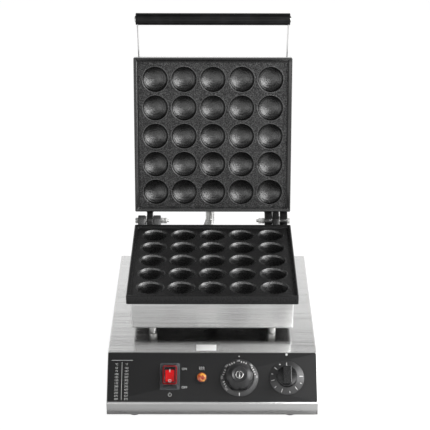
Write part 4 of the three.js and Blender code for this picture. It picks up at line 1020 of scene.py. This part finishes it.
frame_line = [
    (1.5, 1.2, -22.0), (1.5, 1.2, 1.3), (0.02, 1.2, 1.4), (0, 1.6, 1.6), (0, 1.6, 9.8), (0.25, 1.6, 10.4),
    (0.8, 1.6, 10.6), (1.2, 1.6, 10.5), (1.5, 1.6, 10.0), (1.7, 1.6, 3.0),
]
frame_rings = bar(-22.0, 1.2, *[(9.75 - inset, 13.75 - inset, radius, z) for inset, radius, z in frame_line])
gloss_black = moulded_black("glossy black frame", (0.008, 0.003, 0.003), 0.25)
fit(build("switch_frame", [frame_rings]), to_switch, gloss_black, "base", "black_plastic", "switch_body")

rocker_half, rocker_rise, rocker_curve = 11.4, 1.9, 1.6
to_rocker = Matrix.Translation(joints["rocker_tilt"]) @ spin(54, "X")


def rocker_grid():
    """The rocker's skin over its width and length v: a shallow V along its length, z = 1.3 + 1.9 |v|^1.6,
    that rolls off at its edges, and a round belly below, z = -4.3 (1 - |v|^2.2)."""
    v = np.linspace(-1, 1, 41)
    top_line = np.column_stack([rocker_half * v, 1.3 + rocker_rise * np.abs(v) ** rocker_curve])
    under = np.column_stack([rocker_half * v[::-1], -4.3 * (1 - np.abs(v[::-1]) ** 2.2)])
    loop = np.vstack([top_line, under, top_line[:1]])
    centre = np.array([0, -0.3])
    rows = []
    for x, by in [(-7.7, 0.5), (-7.5, 0.12), (-7.1, 0), (7.1, 0), (7.5, 0.12), (7.7, 0.5)]:
        scale = np.array([1 - by / rocker_half, 1 - by / 3])
        rows.append(np.insert(centre + (loop - centre) * scale, 0, x, axis=1))
    return np.array(rows), [rows[0][:-1], rows[-1][:-1]]


# The rocker's plastic is bright in its middle, where a small lamp behind it shines through, and nearly black
# towards its ends and sides.
finish = Finish("glossy red plastic", Specular_IOR_Level=0.1, Emission_Strength=0.2)
cloud = finish.noise(160, 3)
u, v = finish.parts("UV")[:2]
in_middle = finish.range(abs(u), 1.0, 0.0, 6.9, 7.4) * finish.range(abs(v), 1.0, 0.0, 8.6, 9.6)
lit = finish.blend(cloud, (0.72, 0.0, 0.002), (0.85, 0.002, 0.004))
finish.feed(Emission_Color=finish.blend(in_middle, (0.01, 0.0, 0.0), lit))
shade = finish.blend(in_middle, (0.012, 0.001, 0.001), lit)
glossy_red = finish.skin(shade, cloud, cloud, (0.00002, 0.3), 0.3, 0.4)
grid, ends = rocker_grid()
rocker = build("red_rocker", [grid, along_x([(0, -8.3), (1.15, -8.3), (1.15, 8.3), (0, 8.3)], 16)], ends)
flat_map(rocker, 1000)
fit(rocker, to_rocker, glossy_red, "rocker", "red_plastic", "switch_rocker")
marks = [bar_grid(0, 7.9, 1.3, 4.4, z=1.42), arc_grid(0, -7.8, 1.42, 2.0, 0.9, 0, 360, 28)]
for mark in marks:
    mark[..., 2] += rocker_rise * np.abs(mark[..., 1] / rocker_half) ** rocker_curve
white = printed_ink("white ink", (1.0, 0.97, 0.97))
fit(printed("rocker_print", [], marks), to_rocker, white, "rocker", "red_plastic")

# The cover is soft clear vinyl. Its corners and foot are painted a milky grey and made less clear, a painted
# highlight, and an edge round its top is painted dark red, a painted glow of the rocker's red. Both edges are
# point attributes of its mesh.
finish = Finish("soft clear vinyl", IOR=1.3, Specular_IOR_Level=0.4)
cloud = finish.noise(120, 3)
edge, painted_red_glow_edge = (finish.node("Attribute", out=2, attribute_name=label) for label in ("edge", "painted_red_glow_edge"))
milky_painted_sheen = finish.blend(cloud, (0.4, 0.42, 0.45), (0.5, 0.52, 0.55))
shade = finish.blend(painted_red_glow_edge, milky_painted_sheen, (0.26, 0.001, 0.003))
# Corners and foot are less clear, so the milky grey shows there as a painted highlight; the top edge is
# nearly opaque and dark red, a painted glow.
clear = finish.range(cloud, 0.01, 0.025) + edge * 0.13 + painted_red_glow_edge * 0.8
rough = finish.range(cloud, 0.08, 0.2) + painted_red_glow_edge * 0.5
vinyl = finish.feed(Base_Color=shade, Alpha=clear, Roughness=rough, Normal=finish.bump(cloud, 0.0002, 0.3))
cover_rows = [
    (15.5, 21.25, 1.8, 1.4), (15.5, 21.25, 1.8, 2.4), (14.9, 20.55, 1.8, 2.9), (14.5, 19.95, 1.9, 4.5),
    (11.6, 15.9, 3.2, 11.2), (11.3, 15.3, 3.6, 12.6), (11.0, 14.9, 3.8, 13.2), (10.4, 14.3, 3.6, 13.55),
    (9.9, 13.8, 3.4, 13.6), (9.0, 12.9, 3, 13.6), (8.5, 12.4, 3, 13.6), (0.01, 0.01, 0, 13.6),
    (0.01, 0.01, 0, 12.5), (9.2, 13.2, 2.4, 12.5), (13.9, 19.6, 1.8, 2.4), (14.2, 19.9, 1.8, 1.4),
    (15.5, 21.25, 1.8, 1.4),
]
switch_cover = build("clear_switch_cover", [square_rings(cover_rows, frame_stations)])
across_it, along_it, above = np.abs(points_of(switch_cover.data).T) * 1000
wall_x = np.interp(above, [3.2, 11.2, 13.6], [15.1, 11.6, 10.4])
wall_y = np.interp(above, [3.2, 11.2, 13.6], [20.8, 15.9, 14.3])
at_corner = (across_it > wall_x - 2.2) & (along_it > wall_y - 2.2) & (above < 11.5)
at_top = (above > 12.55) & ((across_it > 8.8) | (along_it > 12.7))
for label, share in [("edge", at_corner | (above < 3.0)), ("painted_red_glow_edge", at_top)]:
    values = switch_cover.data.attributes.new(label, "FLOAT", "POINT")
    values.data.foreach_set("value", share.astype(float))
fit(switch_cover, to_switch, vinyl, "base", "clear_rubber", "switch_cover")


# Signal lamp: a blackened bezel pushed through the panel, with a domed amber lens that is cut into small
# facets.
# The acrylic is orange-red in its depth and yellow where the light gathers.

dial_y = -41.2
to_lamp = to_panel @ at(-16.5, dial_y, 0)
bezel_line = [(0, -18), (6, -18), (6, 1.4), (8.6, 1.4), (8.6, 3.1), (7.6, 3.35), (0, 3.2)]
bezel = build("lamp_bezel", [turned(eased(bezel_line, [0.3, 0.1, 0.1, 0.6, 0.2], 4), 56)])
blackened = plated("blackened bezel", (0.05, 0.05, 0.05), 0.3, 0.5)
fit(bezel, to_lamp, blackened, "base", "bright_hardware", "lamp_body")

finish = Finish("amber acrylic", Coat_Weight=0.5, Coat_Roughness=0.06, IOR=1.5, Emission_Strength=0.16)
cloud = finish.noise(210, 2)
shade = finish.ramp(cloud, (0.38, (0.4, 0.025, 0.008)), (0.52, (0.58, 0.15, 0.05)), (0.66, (0.95, 0.5, 0.07)))
amber = finish.feed(Base_Color=shade, Roughness=finish.range(cloud, 0.12, 0.25), Emission_Color=shade)


def facets(profile, angle):
    """Eight facets round the lens: every point is drawn in by t t / 2, t being how far it lies from the
    middle of its facet, and less so towards the lens's crown."""
    t = np.mod(angle * 8 / (2 * math.pi), 1) - 0.5
    return 0.5 * t ** 2 * (profile[:, 1:] > 3.6) * np.clip(profile[:, :1] / 3, 0, 1)


lens_line = [
    (0, 3.5), (4.5, 3.5), (7.3, 3.5), (7.45, 4.0), (7.35, 5.3), (6.0, 6.9), (4.4, 7.6), (2.6, 7.9), (0, 8.0),
]
lens = build("amber_lens", [turned(lens_line, 48, facets)], sharp=12)
fit(lens, to_lamp, amber, "base", "amber_lens", "lamp_lens")


# Thermostat dial: a black knob with a thin numbered skirt, a tapered grip with six flutes at its foot and a
# raised cap with a bright ring and a bar. Its figures go with it when it turns.

to_thermostat, to_timer = (to_panel @ at(x, dial_y, 1.7) for x in (42.5, 117.3))


def spun_black(name, to_dial):
    """A dial's black skirt with a fine spun surface: rings round its axis that lean the normal in and out,
    and a dark metallic sheen. Radii are measured from the axis in object coordinates, as |(p - c) x axis|."""
    finish = Finish(name, Metallic=0.25, Specular_IOR_Level=0.95)
    axis, centre = (tuple(to_dial.col[k][:3]) for k in (2, 3))
    from_centre = finish.vector("SUBTRACT", finish.node("TexCoord", out="Object"), centre)
    radius = finish.vector("LENGTH", finish.vector("CROSS_PRODUCT", from_centre, axis), out=1)
    rings = finish.node("TexNoise", {"W": radius * 5200, "Scale": 1, "Detail": 1}, noise_dimensions="1D")
    cloud = finish.noise(220, 3)
    shade = finish.blend(cloud, (0.03, 0.03, 0.031), (0.045, 0.045, 0.046))
    lean = finish.leaned(finish.down_slope(axis), (rings - 0.5) * 0.6)
    return finish.feed(Base_Color=shade, Roughness=finish.range(cloud, 0.34, 0.42), Normal=lean)


def grip_flutes(profile, angle):
    """Six flutes round the foot of the grip, one over each lens-shaped field: 3 (sqrt(1 - h h) - |t|) to the
    power 0.7, t running from -1.2 to 1.2 over the sixth of the turn that each has."""
    height = np.clip((profile[:, 1:] - 2.0) / 12.6, 0, 1)
    t = (np.mod(angle * 6 / (2 * math.pi), 1) - 0.5) * 2.4
    reach = np.sqrt(np.clip(1 - height ** 2, 0, 1))
    return (profile[:, :1] > 17) * 3.0 * np.clip(reach - np.abs(t), 0, 1) ** 0.7


grip_line = eased(
    [(0, 1.4), (22.2, 1.4), (22.1, 3.0), (21.8, 11.4), (21.0, 13.8), (17.6, 16.9), (14.0, 19.6), (12.7, 20.7),
     (12.1, 22.3), (11.5, 22.3), (8.5, 20.2), (0, 20.2)],
    [0.1, 0.5, 1.6, 1.6, 3.0, 2.0, 0.5, 0.3, 0.2, 0.5], 6,
)
dense = []
for a, b in zip(grip_line[:-1], grip_line[1:]):
    count = max(int(np.linalg.norm(b - a) / 1.6), 1)
    dense.append(np.linspace(a, b, count, endpoint=False))
grip_line = np.vstack(dense + [grip_line[-1:]])
shaft = turned([(0, -9), (3, -9), (3, 0.2), (0, 0.2)], 24)
dial_black = moulded_black("satin dial black", (0.024, 0.024, 0.025), 0.34)
dial = build("thermostat_knob_body", [turned(grip_line, 144, grip_flutes), shaft])
fit(dial, to_thermostat, dial_black, "thermostat_dial", "black_plastic", "thermostat_knob")

skirt_line = eased([(0, 0), (30.3, 0), (30.0, 0.9), (23.4, 3.2), (23.1, 1.4)], [0.3, 0.3, 0.2], 6)
skirt = build("thermostat_skirt", [turned(np.vstack([skirt_line, [(0, 1.4), (0, 0)]]), 144)])
spun_steel = spun_black("spun thermostat skirt", to_thermostat)
fit(skirt, to_thermostat, spun_steel, "thermostat_dial", "black_plastic")

cap_line = eased([(4.9, 20.1), (6.4, 20.1), (6.2, 20.9), (5.1, 21.0), (4.9, 20.1)], [0.1, 0.25, 0.25], 4)
cap_bar = square_rings([(1.0, 4.4, 0.7, 0)], frame_stations)[0]
bar_levels = [(0.01, 20.1), (1, 20.1), (1, 20.6), (0.8, 20.9), (0.01, 20.95)]
bar_stack = np.array([cap_bar * (reach, reach, 1) + (0, 0, up) for reach, up in bar_levels])
cap = build("thermostat_cap_rings", [turned(cap_line, 64), bar_stack])
fit(cap, to_thermostat, bright_steel, "thermostat_dial", "bright_hardware")


def on_skirt(angle, radius):
    """A place on a dial's skirt: the angle runs from the top, against the clock, in degrees."""
    return radius * math.cos(math.radians(90 + angle)), radius * math.sin(math.radians(90 + angle))


def laid_on(piece, line):
    """Lays flat print down on a skirt: moves every point by the skirt's height at that point's own radius."""
    points = points_of(piece.data)
    radius, height = np.asarray(line, float).T
    points[:, 2] += np.interp(np.hypot(points[:, 0], points[:, 1]) * 1000, radius, height) / 1000
    piece.data.vertices.foreach_set("co", points.ravel())
    piece.data.update()
    return piece


numbered = {50: -87, 100: -42.6, 150: 3, 200: 47, 250: 90, 300: 132.5}
figures = [lettering(value, 3.8, *on_skirt(angle, 27.3), turn=angle) for value, angle in numbered.items()]
marks = []
for angle in np.linspace(numbered[50], numbered[300], 26)[1:-1]:
    if min(abs(angle - other) for other in numbered.values()) > 8.5:
        marks.append(bar_grid(*on_skirt(angle, 25.3), 1.1, 3.0, angle))
marks.append(bar_grid(*on_skirt(180, 26.9), 1.3, 4.6))
bright_ink = printed_ink("bright silver ink", (0.95, 0.95, 0.94))
dial_print = laid_on(printed("thermostat_print", figures, marks), [(23.4, 3.2), (30.0, 0.9)])
fit(dial_print, to_thermostat, bright_ink, "thermostat_dial", "black_plastic")


# Timer dial: a flat skirt with lines for the minutes, a round hub and an upright bar to turn it by. It wears
# the same spun black as the thermostat's skirt, and its hub and bar are glossy.

spun_timer = spun_black("spun timer skirt", to_timer)
plate_line = eased([(0, 0), (27.4, 0), (27.1, 0.8), (16.0, 4.4), (0, 4.4)], [0.3, 0.3, 0.5], 6)
timer = build("timer_knob_body", [turned(plate_line, 96), shaft])
fit(timer, to_timer, spun_timer, "timer_dial", "black_plastic", "timer_knob")
hub = turned(eased([(0, 4.2), (16.6, 4.2), (16.2, 13.9), (0, 14.0)], [0.3, 0.8], 4), 72)
bar_rows = [(6.75, 14.5, 2.0, 3.1), (6.75, 14.5, 2.0, 12), (6.65, 14.4, 2.0, 21.4), (6.4, 14.1, 2.0, 22.3),
            (5.7, 13.5, 2.0, 22.9)]
handle_bar = build("timer_hub_and_bar", [hub, bar(3.1, 23.0, *bar_rows)])
bar_black = moulded_black("glossy bar black", (0.01, 0.01, 0.0105), 0.2)
fit(handle_bar, to_timer, bar_black, "timer_dial", "black_plastic")
marks = []
for index, angle in enumerate([50, 76, 101.6, 130, 159, 190.7, 220, 247, 275]):
    length = 3 if index % 2 else 5.5
    marks.append(bar_grid(*on_skirt(angle, 25.2 - length / 2), 0.9, length, angle))
marks += [dot_grid(*on_skirt(26.6, 23.6), 1.1), bar_grid(0, 21.4, 1.1, 5.5)]
timer_print = laid_on(printed("timer_print", [], marks), [(16.0, 4.4), (27.1, 0.8)])
fit(timer_print, to_timer, bright_ink, "timer_dial", "black_plastic")


# Label on the base's top sheet: a small plain sticker of white film without any sign. The film has a slight
# gloss and a faint grey rub over it.

rubbed = [(0, (0.92, 0.92, 0.91)), (1, (0.97, 0.97, 0.965))]
white_film = mottled("white film", (120, 5), rubbed, (0.3, 0.5), (0.00002, 0.4))
film = bar(0.02, 0.14, (16.0, 9.6, 1.0, 0.02), (16.0, 9.6, 1.0, 0.1), (15.9, 9.5, 1.0, 0.14))
on_top = at(-9.6, plates_y * 1000 - 157.5, base_top)
fit(build("plain_label", [film]), on_top, white_film, "base", "brushed_sheet")


# The room round the machine: a white floor between white walls, a soft lamp and a strip close by at the
# right, and weaker lamps at the left and in front. To the camera and in reflections floor and walls are
# brighter than their light makes them, so that they look white and the floor keeps the machine's shadow.

def seen(tree):
    """Whether a ray comes from the camera, straight or through clear plastic, and whether it is reflected."""
    rays = tree.nodes.new("ShaderNodeLightPath").outputs
    kinds = ("Camera", "Transmission", "Glossy")
    camera, through, gloss = (Signal(tree, rays[f"Is {kind} Ray"]) for kind in kinds)
    return camera.most(through), gloss


def white_stage(name, to_camera, near_gloss, far_gloss, glow):
    """A white surface that glows by a share towards the camera and in reflections, where that share runs from
    one value to another between 0.3 and 0.9 m from the machine's middle."""
    finish = Finish(name, Base_Color=(0.66, 0.66, 0.66, 1), Roughness=0.9, Specular_IOR_Level=0.1)
    straight, gloss = seen(finish.tree)
    away = finish.vector("LENGTH", finish.node("TexCoord", out="Object"), out=1)
    share = (straight * to_camera).most(gloss * finish.range(away, near_gloss, far_gloss, 0.3, 0.9))
    lit = Signal(finish.tree, finish.surface.outputs[0])
    mixed = finish.node("MixShader", {0: share, 1: lit, 2: finish.node("Emission", {"Strength": glow})})
    finish.tree.links.new(mixed.socket, finish.tree.nodes["Material Output"].inputs["Surface"])
    return finish.material


floor = [(-6, -6, 0), (6, -6, 0), (6, 6, 0), (-6, 6, 0)]
surfaces = [("floor", floor, white_stage("white floor", 0.78, 0.02, 0.85, 1.26))]
for name, finish_name, gloss, (x, y), (to_x, to_y), low, high in [
    ("far wall", "far white", 0.97, (-4, 3.4), (4, 3.4), 0, 2.6),
    ("near wall", "near white", 0.45, (-4, -4.2), (4, -4.2), 0, 1.1),
    ("near upper wall", "high near white", 0.9, (-4, -4.2), (4, -4.2), 1.1, 2.8),
    ("left wall", "left white", 0.4, (-3.6, -4), (-3.6, 3), 0, 2.2),
    ("right wall", "right white", 0.4, (3.6, -4), (3.6, 3), 0, 2.2),
]:
    corners = [(x, y, low), (to_x, to_y, low), (to_x, to_y, high), (x, y, high)]
    surfaces.append((name, corners, white_stage(finish_name, 1, gloss, gloss, 1.12)))
for name, corners, white_paint in surfaces:
    mesh = bpy.data.meshes.new(name)
    mesh.from_pydata(corners, [], [(0, 1, 2, 3)])
    mesh.materials.append(white_paint)
    sheet = bpy.data.objects.new(name, mesh)
    scene.collection.objects.link(sheet)

world = bpy.data.worlds.new("studio")
scene.world = world
world.use_nodes = True
tree = world.node_tree
tree.nodes.clear()
straight, gloss = seen(tree)
air = tree.nodes.new("ShaderNodeBackground")
tree.links.new((straight * 0.92 + gloss * 0.04 + 0.08).socket, air.inputs["Strength"])
air.inputs["Color"].default_value = (1, 1, 1, 1)
tree.links.new(air.outputs[0], tree.nodes.new("ShaderNodeOutputWorld").inputs["Surface"])

for name, place, aim, size, radiance in [
    ("right", (1.15, -0.2, 0.7), (0, 0.05, 0.3), (0.8, 1.2), 6.6),
    ("right strip", (0.9, -0.95, 1.15), (0, 0.1, 0.3), (1.4, 0.45), 4.6),
    ("left", (-1.35, -1.25, 0.6), (0, 0, 0.3), (1.8, 0.6), 1.6),
    ("front", (0, -2.0, 2.1), (0, 0.1, 0.3), (3.2, 1.3), 0.65),
]:
    lamp = bpy.data.lights.new(name, "AREA")
    lamp.shape, lamp.size, lamp.size_y = "RECTANGLE", *size
    lamp.energy = math.pi * size[0] * size[1] * radiance
    holder = bpy.data.objects.new(name, lamp)
    holder.location = place
    holder.rotation_euler = (Vector(aim) - Vector(place)).to_track_quat("-Z", "Y").to_euler()
    holder.visible_camera = False
    scene.collection.objects.link(holder)

view = bpy.data.cameras.new("view")
view.sensor_width, view.sensor_fit = 36.0, "HORIZONTAL"
view.lens = 36.0 * 1412.7 / 430
view.clip_start, view.clip_end = 0.1, 30
camera = bpy.data.objects.new("view", view)
at_camera = Matrix.Translation((0.004, -2.1261137 + plates_y, 1.0319567 + rim_z))
camera.matrix_world = at_camera @ spin(90 - 24.1456, "X") @ spin(0.0866, "Z")
scene.collection.objects.link(camera)
scene.camera = camera
scene.view_settings.view_transform = "Standard"
